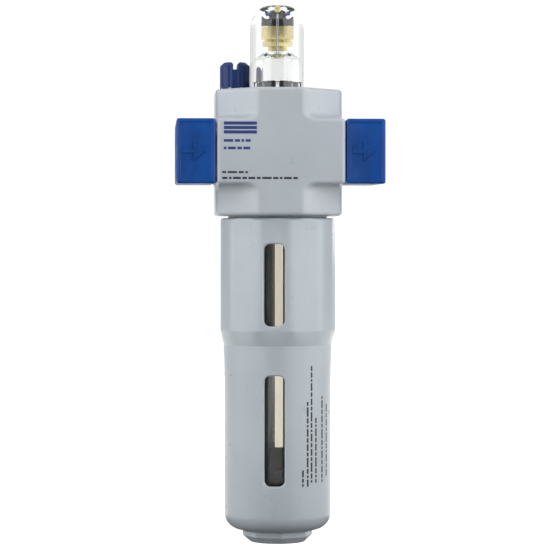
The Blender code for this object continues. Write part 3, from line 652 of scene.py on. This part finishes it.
def cylinder(start, end, radius, sides=64, chamfer=0.0):
    """A round cutter between two points, flared at its start to chamfer the hole's mouth."""
    start = Vector(start)
    reach = Vector(end) - start
    outline = [(radius + chamfer, 0.0)]
    if chamfer:
        outline += [(radius + chamfer, 1.0), (radius, 1.0 + chamfer)]
    outline.append((radius, reach.length))
    bm = bmesh.new()
    rings = [[bm.verts.new((0, 0, 0.0))]]
    turns = [math.tau * k / sides for k in range(sides)]
    for r, h in outline:
        rings.append([bm.verts.new((r * math.cos(a), r * math.sin(a), h)) for a in turns])
    rings.append([bm.verts.new((0, 0, reach.length))])
    bridge(bm, rings)
    bm.transform(Matrix.Translation(start) @ reach.to_track_quat("Z", "Y").to_matrix().to_4x4())
    return finish_mesh("cutter", bm)


def block(low, high, turn=0.0, bevel=0.0):
    """A box between two corners, turned about the bowl's axis."""
    bm = bmesh.new()
    bmesh.ops.create_cube(bm, size=1.0)
    low, high = Vector(low), Vector(high)
    bm.transform(Matrix.Translation((low + high) / 2) @ Matrix.Diagonal((*(high - low), 1.0)))
    if bevel:
        bmesh.ops.bevel(bm, geom=bm.edges[:], offset=bevel, segments=3, profile=0.5, affect="EDGES")
    bm.transform(Matrix.Rotation(turn, 4, "Z"))
    return finish_mesh("cutter", bm)


def round_max(values, radius):
    """The solid common to several, with its outward edges rounded."""
    over = sum(np.maximum(v + radius, 0.0) ** 2 for v in values)
    deepest = values[0]
    for v in values[1:]:
        deepest = np.maximum(deepest, v)
    return np.minimum(-radius, deepest) + np.sqrt(over)


def round_min(a, b, radius):
    """Two solids together, with a fillet between them."""
    under = np.sqrt(np.maximum(radius - a, 0.0) ** 2 + np.maximum(radius - b, 0.0) ** 2)
    return np.maximum(radius, np.minimum(a, b)) - under


def cell_corners(*steps):
    """The part of a grid that holds the corner of every cell that lies these steps along."""
    return tuple(slice(1, None) if step else slice(0, -1) for step in steps)


def contour(name, field, low, high, cell):
    """The zero surface of a distance field as quads, every corner moved onto the surface."""
    axes = [np.arange(low[k] - 1.5 * cell, high[k] + 2.5 * cell, cell) for k in range(3)]
    grid = np.meshgrid(*axes, indexing="ij")
    depth = field(*grid)
    inside = depth < 0
    shape = tuple(n - 1 for n in depth.shape)
    total = np.zeros((3, *shape))
    count = np.zeros(shape)
    for axis in range(3):
        for j, k in ((0, 0), (0, 1), (1, 0), (1, 1)):
            near, far = [j, k], [j, k]
            near.insert(axis, 0)
            far.insert(axis, 1)
            near, far = cell_corners(*near), cell_corners(*far)
            a, b = depth[near], depth[far]
            crossing = (a < 0) != (b < 0)
            share = np.where(crossing, a / np.where(crossing, a - b, 1.0), 0.0)
            for c in range(3):
                start, stop = grid[c][near], grid[c][far]
                total[c] += np.where(crossing, start + share * (stop - start), 0.0)
            count += crossing
    active = count > 0
    index = np.full(shape, -1)
    index[active] = np.arange(int(active.sum()))
    points = np.stack([total[c][active] / count[active] for c in range(3)], axis=1)
    step = cell * 0.02
    for _ in range(4):
        here = field(*points.T)
        slope = np.zeros_like(points)
        for c in range(3):
            shifted = points.copy()
            shifted[:, c] += step
            slope[:, c] = (field(*shifted.T) - here) / step
        size = np.maximum((slope**2).sum(axis=1), 0.05)
        move = slope * (here / size)[:, None]
        length = np.linalg.norm(move, axis=1)
        move *= np.minimum(1.0, cell / np.maximum(length, 1e-9))[:, None]
        points -= move
    faces = []
    for axis in range(3):
        solid = np.moveaxis(inside, axis, 0)
        cells = np.moveaxis(index, axis, 0)
        near, far = solid[:-1, 1:-1, 1:-1], solid[1:, 1:-1, 1:-1]
        corners = [cells[:, :-1, :-1], cells[:, 1:, :-1], cells[:, 1:, 1:], cells[:, :-1, 1:]]
        corners = np.stack(corners, axis=-1)
        out, back = (near & ~far), (~near & far)
        if axis == 1:
            out, back = back, out
        faces.append(corners[out])
        faces.append(corners[back][:, ::-1])
    faces = np.concatenate(faces)
    mesh = bpy.data.meshes.new(name)
    points = points * MM + np.array(AXIS)
    mesh.from_pydata(points.tolist(), [], faces.tolist())
    mesh.validate()
    return mesh


# --- housing ---
HALF_X = (HOUSING_HIGH.x - HOUSING_LOW.x) / 2 / MM
HALF_Y = (HOUSING_HIGH.y - HOUSING_LOW.y) / 2 / MM
HALF_Z = (HOUSING_HIGH.z - HOUSING_LOW.z) / 2 / MM
BAND_HALF_Z = 10.0  # the square band at port height
FRONT_FLAT = 7.5  # half the width of the front face, where the diagonals are cut in
SIDE_FLAT = 8.0


def housing_field(x, y, z):
    """The octagonal block; its diagonal sides sweep out into the square band at port height."""
    run, rise = HALF_X - FRONT_FLAT, HALF_Y - SIDE_FLAT
    size = math.hypot(run, rise)
    nx, ny = rise / size, run / size
    diagonal = np.abs(x) * nx + np.abs(y) * ny - (FRONT_FLAT * nx + HALF_Y * ny)
    notch = round_min(diagonal, np.abs(z) - BAND_HALF_Z, 2.4)
    inset = 0.02  # keeps raised print inside the block's own size
    faces = [np.abs(x) - HALF_X, np.abs(y) - HALF_Y + inset, np.abs(z) - HALF_Z, notch]
    return round_max(faces, 1.05)


def make_housing(finish):
    size = (HALF_X, HALF_Y, HALF_Z)
    mesh = contour("housing_casting", housing_field, [-s for s in size], size, 0.5)
    top, past = HALF_Z, 1.0
    filler_x, filler_y = -13.2, 3.9
    cutters = [
        cylinder((0, 0, -top - past), (0, 0, -11.0), 15.8, 128, 0.45),  # bowl
        cylinder((0, 0, top + past), (0, 0, 12.6), 8.9, 96, 0.35),  # sight dome
        cylinder((-HALF_X - past, 0, 0), (HALF_X + past, 0, 0), 5.0, 64),  # air
        cylinder((0, 0, -12.0), (0, 0, -8.5), 8.7, 64),  # siphon adapter
        cylinder((filler_x, filler_y, top + past), (filler_x, filler_y, 18.1), 4.3, 64, 0.3),
        cylinder((filler_x, filler_y, 18.6), (filler_x, filler_y, 10.5), 3.2, 48),
        cylinder((0, 0, 13.2), (0, 0, 0), 1.7, 32),  # drip
    ]
    add_piece("housing_casting", carve(mesh, cutters), finish, "body", ["housing"])


# --- bowl guard ---
FLATS = ((-16.0, 16.0), (16.0, 50.5), (50.5, 69.5), (69.5, 104.0))  # in each third, in degrees
CORNER_R = 18.6  # where the flats of the upper part meet
UPPER_FOOT_Z = -67.0  # the flats end above this height
LOWER_R = 16.6  # the round lower part
BORE_R = 14.0
STUB_TOP_Z = -117.8
STUB_R = 11.0  # across the octagonal stub's corners, halved
STUB_TURN = GUARD_TURN + math.radians(10.3)
FOOT_Z = -121.35


def flats_radius(angles, softness=170.0):
    """How far out the guard's flat sides stand at each angle, with their corners softened."""
    total = np.zeros(len(angles))
    degrees = np.degrees(angles - GUARD_TURN)
    for k in range(3):
        for low, high in FLATS:
            apothem = CORNER_R * math.cos(math.radians((high - low) / 2))
            off = (degrees - k * 120.0 - (low + high) / 2 + 180.0) % 360.0 - 180.0
            facing = np.abs(off) < 60.0
            reach = apothem / np.cos(np.radians(np.where(facing, off, 0.0)))
            total += np.where(facing, reach ** (-softness), 0.0)
    return total ** (-1.0 / softness)


def octagon_radius(angles, corner, turn, softness=120.0):
    """How far out the sides of an octagon stand at each angle, with their corners softened."""
    total = np.zeros(len(angles))
    for k in range(8):
        off = (angles - turn - math.pi / 8 - k * math.pi / 4 + math.pi) % math.tau - math.pi
        facing = np.abs(off) < 1.1
        reach = corner * math.cos(math.pi / 8) / np.cos(np.where(facing, off, 0.0))
        total += np.where(facing, reach ** (-softness), 0.0)
    return total ** (-1.0 / softness)


def soft_min(a, b, softness=170.0):
    return (a ** (-softness) + b ** (-softness)) ** (-1.0 / softness)


def guard_shape(radius, height, angles):
    """Flats on the outside of the upper part and of the stub; all else is round."""
    plain = np.full(len(angles), radius)
    inside = radius < 15.9 and height > -112.0 or height > -20.35 and radius < 15.5
    if inside:
        return plain
    if height < STUB_TOP_Z + 0.01 and radius > 5.7:
        return soft_min(octagon_radius(angles, STUB_R, STUB_TURN), plain)
    if height > UPPER_FOOT_Z:
        return soft_min(flats_radius(angles), plain)
    return plain


def window_cutter(width, top, bottom, depth_at, turn):
    """A bar along -Y that cuts one window, flared to chamfer its rim."""
    corner, steps, chamfer = 1.9, 8, 0.38
    inner_y = -12.8  # inside the guard's wall
    middle = (top + bottom) / 2

    def outline(grow):
        points = []
        w, h = width / 2 + grow, (top - bottom) / 2 + grow
        c = corner + grow
        for quarter in range(4):
            sx = 1 if quarter in (0, 3) else -1
            sz = 1 if quarter in (0, 1) else -1
            for step in range(steps + 1):
                a = math.pi / 2 * (quarter + step / steps)
                points.append((sx * (w - c) + c * math.cos(a), sz * (h - c) + c * math.sin(a)))
        return points

    bm = bmesh.new()
    rings = []
    flare = chamfer + 0.3
    for grow, depth in ((0.0, None), (0.0, -chamfer), (flare, 0.3), (flare, 3.0)):
        ring = []
        for x, z in outline(grow):
            y = inner_y if depth is None else -(depth_at(x) + depth)
            ring.append(bm.verts.new((x, y, z + middle)))
        rings.append(ring)
    bridge(bm, rings)
    bm.faces.new(rings[0])
    bm.faces.new(rings[-1])
    bm.transform(Matrix.Rotation(turn, 4, "Z"))
    return finish_mesh("cutter", bm)


def make_guard(finish):
    outline = [(BORE_R, -14.6, 0.0), (15.4, -14.6, 0.4), (15.4, -20.3, 0.5), (18.25, -20.3, 1.5)]
    outline += [(18.25, -40.0, 0.0), (18.25, -55.2, 0.9), (16.8, -59.8, 1.2)]
    outline += [(LOWER_R, -67.3, 0.0), (LOWER_R, -90.0, 0.0)]
    outline = filleted(outline)
    for step in range(13):  # the round shoulder, which stops short of flat
        a = math.pi / 2 * step / 12 * 0.93
        outline.append((11.25 + 5.35 * math.cos(a), -112.6 - 4.9 * math.sin(a)))
    stub = [(11.3, -117.75, 0.0), (11.25, STUB_TOP_Z - 0.1, 0.0), (11.2, -118.6, 0.0)]
    stub += [(11.0, -119.3, 0.3), (8.5, FOOT_Z, 0.3), (5.6, FOOT_Z, 0.3), (5.6, -115.0, 0.0)]
    stub += [(9.0, -115.0, 0.3), (BORE_R, -110.5, 0.5), (BORE_R, -60.0, 0.0)]
    mesh = lathe("guard_shell", outline + filleted(stub), 360, shape=guard_shape)
    flat = CORNER_R * math.cos(math.radians(FLATS[0][1]))

    def upper(x):
        return flat

    def lower(x):
        return math.sqrt(LOWER_R**2 - x**2)

    cutters = []
    for turn in WINDOW_TURNS:
        cutters.append(window_cutter(6.5, -28.4, -53.7, upper, turn))
        cutters.append(window_cutter(6.3, -68.95, -102.9, lower, turn))
    add_piece("guard_shell", carve(mesh, cutters), finish, "guard", ["bowl_guard"])


# --- connecting plates ---
ARROW = ((-4.1, -0.6), (-0.9, -0.6), (-0.9, -3.1), (3.0, 0.0))
ARROW += ((-0.9, 3.1), (-0.9, 0.6), (-4.1, 0.6))


def reach_x(low, high):
    """A box's least and greatest distance from the bowl's axis along X, in millimetres."""
    return sorted((abs(low.x - AXIS_X) / MM, abs(high.x - AXIS_X) / MM))


def front_panel(middle, half_x, half_z, front, depth):
    """Cuts the sunk front panel and leaves an arrow standing in it, along the flow to +X."""
    bm = bmesh.new()
    rings = []
    slope = 0.2  # how much the arrow's sides lean out to the rear, as a share of its size
    for y, size in ((front - depth, 1.0 - slope), (front + 2.0 * depth, 1.0 + slope / 2)):
        rings.append([bm.verts.new((middle + x * size, y, z * size)) for x, z in ARROW])
    bridge(bm, rings)
    bm.faces.new(rings[0])
    bm.faces.new(rings[1][::-1])
    arrow = finish_mesh("arrow", bm)
    low = (middle - half_x, front - 1.0, -half_z)
    high = (middle + half_x, front + depth, half_z)
    return carve(block(low, high, bevel=0.3), [arrow])


def make_plate(side, sign, finish):
    """One connecting plate, with its port, screw seats and a raised flow arrow in front."""
    low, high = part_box(f"{side}_plate")
    half_y, half_z = (high.y - low.y) / 2 / MM, (high.z - low.z) / 2 / MM
    inner, outer = reach_x(low, high)
    rounding = 0.7
    edge, depth = 1.1, 0.4  # border and depth of the sunk front panel

    def field(x, y, z):
        back = (y + half_y) / (2 * half_y)  # the mould's draft narrows the plate to the rear
        x = x * sign
        faces = [inner - x, x - outer + 0.2 * back, np.abs(y) - half_y]
        return round_max(faces + [np.abs(z) - half_z + 0.5 * back], rounding)

    ends = sorted((inner * sign, outer * sign))
    box_low, box_high = (ends[0], -half_y, -half_z), (ends[1], half_y, half_z)
    mesh = contour(f"{side}_plate_moulding", field, box_low, box_high, 0.45)
    past = 1.0
    screw_y, screw_z = 14.5, 5.4

    def bore(y, z, start, end, radius, sides, chamfer=0.0):
        return cylinder((sign * start, y, z), (sign * end, y, z), radius, sides, chamfer)

    middle = sign * (inner + outer) / 2
    cutters = [
        front_panel(middle, (outer - inner) / 2 - edge, half_z - edge, -half_y, depth),
        bore(0, 0, outer + past, outer - 9.0, 6.1, 64, 0.8),
        bore(0, 0, outer - 8.0, inner - past, 5.0, 64),
    ]
    for y in (-screw_y, screw_y):
        for z in (-screw_z, screw_z):
            cutters.append(bore(y, z, outer + past, outer - 4.4, 3.8, 48, 0.25))
            cutters.append(bore(y, z, outer - 4.0, inner - past, 2.2, 24))
    piece = carve(mesh, cutters)
    add_piece(f"{side}_plate_moulding", piece, finish, "body", [f"{side}_plate"])


def socket_screw(side, number, sign, finish):
    """A socket-head cap screw with a knurled head, along X; heights start at its head."""
    name = f"{side}_plate_screw_{number}"
    low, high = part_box(name)
    y, z = (low.y + high.y) / 2 / MM, (low.z + high.z) / 2 / MM
    tip, top = reach_x(low, high)
    length = top - tip
    socket_half, socket_foot = 1.5, -2.0
    knurl, ridges = 0.06, 36
    outline = [(0.0, socket_foot, 0.0), (1.70, socket_foot, 0.0), (1.70, -0.12, 0.0)]
    outline += [(1.85, 0.0, 0.0), (3.5, 0.0, 0.35), (3.5, -3.8, 0.12), (1.9, -3.8, 0.12)]
    outline += [(1.9, 0.4 - length, 0.0), (1.5, -length, 0.0), (0.0, -length, 0.0)]

    def shape(radius, height, angles):
        if radius < 1.75 and socket_foot - 0.1 < height < -0.05:
            off = (angles + math.pi / 6) % (math.pi / 3) - math.pi / 6
            return socket_half / np.cos(off)
        if radius > 3.4 and -3.7 < height < -0.3:
            return radius - knurl * (0.5 + 0.5 * np.cos(angles * ridges))
        return np.full(len(angles), radius)

    mesh = lathe(f"{side}_cap_screw_{number}", filleted(outline, 3), 144, shape=shape)
    swing = Matrix.Rotation(sign * math.pi / 2, 4, "Y")
    back = Matrix.Translation((-AXIS_X, -AXIS.y, -AXIS.z))
    place = Matrix.Translation((AXIS_X + sign * top * MM, y * MM, z * MM))
    mesh.transform(place @ swing @ back)
    add_piece(f"{side}_cap_screw_{number}", mesh, finish, "body", [name])


# --- sight dome and what it holds ---
def make_dome(finish):
    """The clear dome; its bore grips the screw and seal, so no air gap hides them."""
    crown = [(8.6, 37.6), (8.58, 38.8), (8.48, 40.2), (8.1, 41.7), (7.2, 43.1), (6.3, 44.3)]
    crown += [(5.5, 45.3), (4.7, 45.85)]
    outline = [(4.64, 13.2), (8.2, 13.2), (8.6, 13.6), (8.6, 14.4), (7.4, 14.4), (7.4, 16.2)]
    outline += [(8.6, 16.2), (8.6, 24.0), (8.6, 31.0)] + smooth_curve(crown)
    outline += [(4.4, 46.0), (3.7, 46.0), (3.5, 45.8), (3.5, 42.2), (3.13, 41.3), (3.13, 35.32)]
    outline += [(2.64, 35.17), (2.64, 35.03), (2.93, 34.78), (2.79, 33.28), (1.84, 33.12)]
    outline += [(1.84, 31.9), (2.9, 31.65), (4.6, 29.7), (4.68, 29.35), (4.9, 29.2)]
    outline += [(5.0, 28.9), (5.0, 22.2), (4.64, 21.9)]
    mesh = lathe("sight_dome_clear", outline, 160)
    channel = 6.4  # the oil channel's distance from the axis, on the camera's side
    x, y = channel * math.sin(VIEW_TURN), -channel * math.cos(VIEW_TURN)
    piece = carve(mesh, [cylinder((x, y, 29.5), (x, y, 43.0), 0.38, 20)])
    add_piece("sight_dome_clear", piece, finish, "body", ["sight_dome"])


def make_adjuster(brass, rubber):
    """The slotted brass screw and the cone-shaped seal on it."""
    outline = [(0.0, 30.8, 0.0), (0.8, 30.8, 0.1), (1.9, 31.9, 0.1), (1.9, 33.2, 0.0)]
    outline += [(2.85, 33.2, 0.15), (3.0, 34.8, 0.1), (2.7, 35.0, 0.08), (2.7, 35.2, 0.08)]
    outline += [(3.2, 35.35, 0.1), (3.2, 39.4, 0.12), (1.1, 39.4, 0.0), (1.1, 43.65, 0.15)]
    outline += [(0.0, 43.65, 0.0)]
    mesh = lathe("drip_screw_brass", filleted(outline, 3), 96)
    piece = carve(mesh, [block((-2.5, -0.3, 42.7), (2.5, 0.3, 46.0))])
    stands = ["drip_adjusting_screw"]
    add_piece("drip_screw_brass", piece, brass, "adjuster", stands)
    cone = [(1.3, 39.45), (3.1, 39.45), (3.2, 39.55), (3.2, 40.9), (3.05, 41.15), (1.6, 41.6)]
    cone += [(1.45, 41.62), (1.3, 41.62)]
    seal = lathe("drip_screw_cone_seal", cone, 96)
    stands = ["adjusting_screw_seal"]
    add_piece("drip_screw_cone_seal", seal, rubber, "adjuster_seal", stands)


def make_drip_cup(finish):
    """The cup under the drip, its rim cut into eight merlons; one slot faces the camera."""
    floor, rim, slot_half = 12.8, 22.5, 0.65
    outline = [(0.7, 3.1, 0.0), (1.4, 3.1, 0.0), (1.4, floor, 0.0), (4.7, floor, 0.2)]
    outline += [(4.7, rim, 0.2), (3.9, rim, 0.15), (3.9, floor + 1.4, 0.3)]
    outline += [(0.7, floor + 0.9, 0.1)]
    mesh = lathe("drip_cup", filleted(outline, 3), 128)
    cutters = []
    for k in range(4):
        turn = math.pi / 4 * k + VIEW_TURN
        cutters.append(block((-6.0, -slot_half, 20.3), (6.0, slot_half, 23.5), turn))
    piece = carve(mesh, cutters)
    add_piece("drip_cup", piece, finish, "body", ["drip_nozzle"])


def make_filler(finish):
    """The slotted filler screw; eight shallow grips run down its head."""
    low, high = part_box("filler_screw")
    centre = ((low.x + high.x) / 2 / MM - AXIS_X / MM, (low.y + high.y) / 2 / MM)
    foot, top = low.z / MM, high.z / MM
    outline = [(0.0, foot, 0.0), (2.4, foot, 0.0), (2.9, foot + 0.5, 0.0), (2.9, 19.9, 0.0)]
    outline += [(4.7, 19.9, 0.2), (4.7, 24.0, 0.0), (4.7, top - 1.15, 0.5)]
    outline += [(3.45, top, 0.45), (0.0, top, 0.0)]

    def shape(radius, height, angles):
        plain = np.full(len(angles), float(radius))
        if radius < 3.0:
            return plain
        off = angles % (math.pi / 4) - math.pi / 8
        reach, flute = 5.1, 0.7
        root = flute**2 - (reach * np.sin(off)) ** 2
        inner = reach * np.cos(off) - np.sqrt(np.maximum(root, 0.0))
        return np.where(root > 0, np.minimum(plain, inner), plain)

    mesh = lathe("filler_cap", filleted(outline, 4), 288, centre, shape)
    x, near, far = centre[0], centre[1] - 6.0, centre[1] + 6.0
    slot = block((x - 0.72, near, top - 2.4), (x + 0.72, far, top + 1.0))
    mouth = cylinder((x, near, top), (x, far, top), 1.35, 4)
    piece = carve(mesh, [slot, mouth])
    add_piece("filler_cap", piece, finish, "filler", ["filler_screw"])


# --- bowl and pick-up ---
def make_bowl(finish):
    outline = [(12.0, -12.9, 0.0), (15.2, -12.9, 0.3), (15.2, -14.3, 0.2), (13.6, -14.3, 0.3)]
    outline += [(13.6, -60.0, 0.0), (13.6, -108.5, 2.0), (7.0, -113.0, 0.6), (5.0, -113.0, 0.3)]
    outline += [(5.0, -120.5, 0.4), (0.0, -120.5, 0.0), (0.0, -111.2, 0.0), (5.0, -111.0, 0.5)]
    outline += [(12.0, -106.8, 1.6), (12.0, -60.0, 0.0)]
    mesh = lathe("oil_bowl_clear", filleted(outline), 128)
    add_piece("oil_bowl_clear", mesh, finish, "bowl", ["inner_bowl"])


def make_pickup(natural, bronze):
    """The tube down into the oil, with the filter on its end."""
    low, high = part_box("siphon_tube")
    x = ((low.x + high.x) / 2 - AXIS_X) / MM
    tube = [(0.7, -94.7), (1.25, -94.7), (1.25, -50.0), (1.25, -12.8), (0.7, -12.8), (0.7, -50.0)]
    mesh = lathe("pickup_tube", tube, 48, (x, 0.0))
    add_piece("pickup_tube", mesh, natural, "body", ["siphon_tube"])
    cartridge = [(0.0, -97.5, 0.0), (0.7, -97.0, 0.0), (0.7, -95.0, 0.0), (1.45, -95.0, 0.0)]
    cartridge += [(1.45, -91.9, 0.1), (2.7, -91.9, 0.2), (2.85, -92.3, 0.2), (2.85, -98.7, 0.3)]
    cartridge += [(2.4, -99.1, 0.2), (0.0, -99.1, 0.0)]
    mesh = lathe("intake_filter", filleted(cartridge, 3), 72, (x, 0.0))
    add_piece("intake_filter", mesh, bronze, "body", ["suction_filter"])


# --- kept CAD pieces ---
KEPT = {
    "rubber": (
        "inlet_plate_seal",
        "outlet_plate_seal",
        "sight_dome_seal",
        "filler_screw_seal",
        "bowl_seal",
        "bypass_flap",
    ),
    "plastic": ("venturi_insert", "siphon_adapter"),
    "steel": ("check_ball", "pressure_check_ball", "pressure_check_spring"),
    "brass": ("pressure_check_retainer",),
}


def paint_kept(finishes):
    for key, names in KEPT.items():
        for name in names:
            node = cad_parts[name]
            if not node.material_slots:
                node.data.materials.append(finishes[key])
            for place in node.material_slots:
                place.material = finishes[key]


# --- printed marks, plain shapes without lettering ---
WORDS = (2.1, 1.2, 2.9, 1.6, 0.8, 2.4, 1.4)  # lengths of the dashes in a printed rule
SPACE = 0.45  # between two dashes
SHORTEST = 0.4


def dashes(start, end, skip=0):
    """Spans of uneven length along a line, so that a broken rule reads as a row of print."""
    spans = []
    at, number = start, skip
    while at < end - SHORTEST:
        stop = min(at + WORDS[number % len(WORDS)], end)
        spans.append((at, stop))
        at = stop + SPACE
        number += 1
    return spans


def join(parts):
    """One bmesh from several, which it uses up."""
    whole = bmesh.new()
    for part in parts:
        mesh = bpy.data.meshes.new("part")
        part.to_mesh(mesh)
        part.free()
        whole.from_mesh(mesh)
        bpy.data.meshes.remove(mesh)
    return whole


def make_front_marks(blue_ink, ink):
    """A plain mark and rules on the front of the housing, as thin layers of ink."""
    outer = -HALF_Y
    inner = outer + 0.035

    def layer(x0, x1, z0, z1):
        bm = bmesh.new()
        bmesh.ops.create_cube(bm, size=1.0)
        size = Vector((x1 - x0, inner - outer, z1 - z0))
        middle = Vector(((x0 + x1) / 2, (inner + outer) / 2, (z0 + z1) / 2))
        bm.transform(Matrix.Translation(middle) @ Matrix.Diagonal((*size, 1.0)))
        return bm

    rules = []
    for right, top, bottom, skip in ((-10.2, -6.2, -6.8, 1), (5.0, -7.95, -8.6, 3)):
        rules += [layer(x0, x1, bottom, top) for x0, x1 in dashes(-18.1, right, skip)]
    mesh = finish_mesh("front_rules", join(rules))
    add_piece("front_rules", mesh, ink, "body")
    left = -17.6
    bars = [layer(left, -7.5, z0, z1) for z0, z1 in ((7.95, 8.95), (6.6, 7.6), (5.25, 6.25))]
    for top, bottom, skip in ((3.55, 2.75, 2), (1.25, 0.45, 4)):
        bars += [layer(x0, x1, bottom, top) for x0, x1 in dashes(left, -9.4, skip)]
    mesh = finish_mesh("front_mark", join(bars))
    add_piece("front_mark", mesh, blue_ink, "body")


GUARD_PRINT = (  # degrees round from the front, top and foot of each upright rule
    (24.6, -98.0, -103.0),
    (30.5, -77.0, -103.0),
    (35.7, -64.6, -102.5),
    (42.0, -82.0, -102.0),
    (52.5, -75.5, -102.0),
    (62.0, -78.0, -101.0),
)


def make_guard_print(ink):
    """Upright broken rules on the guard's round part, as thin curved layers of ink."""
    low, high, half = LOWER_R - 0.05, LOWER_R + 0.035, math.radians(1.05)
    parts = []
    for number, (degrees, top, foot) in enumerate(GUARD_PRINT):
        middle = math.radians(degrees)
        for z1, z0 in dashes(-top, -foot, number):
            bm = bmesh.new()
            rings = []
            for a in (middle - half, middle, middle + half):
                spots = ((low, -z0), (high, -z0), (high, -z1), (low, -z1))
                ring = [(r * math.sin(a), -r * math.cos(a), z) for r, z in spots]
                rings.append([bm.verts.new(spot) for spot in ring])
            bridge(bm, rings)
            bm.faces.new(rings[0])
            bm.faces.new(rings[-1][::-1])
            parts.append(bm)
    mesh = finish_mesh("guard_print", join(parts))
    add_piece("guard_print", mesh, ink, "guard")


# --- stage (metres) ---
FLOOR_Z, FLOOR_R = -0.150, 1.5
CARD_Z, CARD_HALF_X, CARD_NEAR, CARD_FAR = -0.149, 0.17, -0.9, 0.17


def add_sheet(name, corners, height, finish):
    """A flat staged sheet through the corners, level and facing up."""
    bm = bmesh.new()
    bm.faces.new([bm.verts.new((x, y, height)) for x, y in corners])
    mesh = bpy.data.meshes.new(name)
    bm.to_mesh(mesh)
    bm.free()
    mesh.materials.append(finish)
    sheet = bpy.data.objects.new(name, mesh)
    bpy.context.scene.collection.objects.link(sheet)
    return sheet


def add_stage(floor_finish, card_finish):
    """The floor, and a dark card below and before the object, which the camera never sees: it puts
    painted shade on the object's underside and in its gloss.
    """
    turns = [math.tau * k / 96 for k in range(96)]
    round_floor = [(AXIS_X + FLOOR_R * math.cos(a), FLOOR_R * math.sin(a)) for a in turns]
    add_sheet("floor", round_floor, FLOOR_Z, floor_finish)
    half, near, far = CARD_HALF_X, CARD_NEAR, CARD_FAR
    corners = []
    for x, y in ((-half, near), (half, near), (half, far), (-half, far)):
        corner = Matrix.Rotation(VIEW_TURN, 2) @ Vector((x, y))
        corners.append((AXIS_X + corner.x, corner.y))
    # painted shade: this card only darkens the object's underside and reflections
    card = add_sheet("shade_card", corners, CARD_Z, card_finish)
    card.visible_camera = False
    card.visible_shadow = False
    card.visible_transmission = False


# --- build ---
bpy.context.scene.view_settings.view_transform = "Standard"
add_camera()
add_world()
add_back_light()

finishes = make_finishes()
make_housing(finishes["paint"])
make_guard(finishes["guard"])
for side, sign in (("inlet", -1), ("outlet", 1)):
    make_plate(side, sign, finishes["blue"])
    for number in range(1, 5):
        socket_screw(side, number, sign, finishes["zinc"])
make_dome(finishes["dome"])
make_adjuster(finishes["brass"], finishes["rubber"])
make_drip_cup(finishes["plastic"])
make_filler(finishes["knob"])
make_bowl(finishes["bowl"])
make_pickup(finishes["natural"], finishes["bronze"])
make_front_marks(finishes["blue_ink"], finishes["ink"])
make_guard_print(finishes["ink"])
paint_kept(finishes)
add_stage(finishes["floor"], finishes["card"])
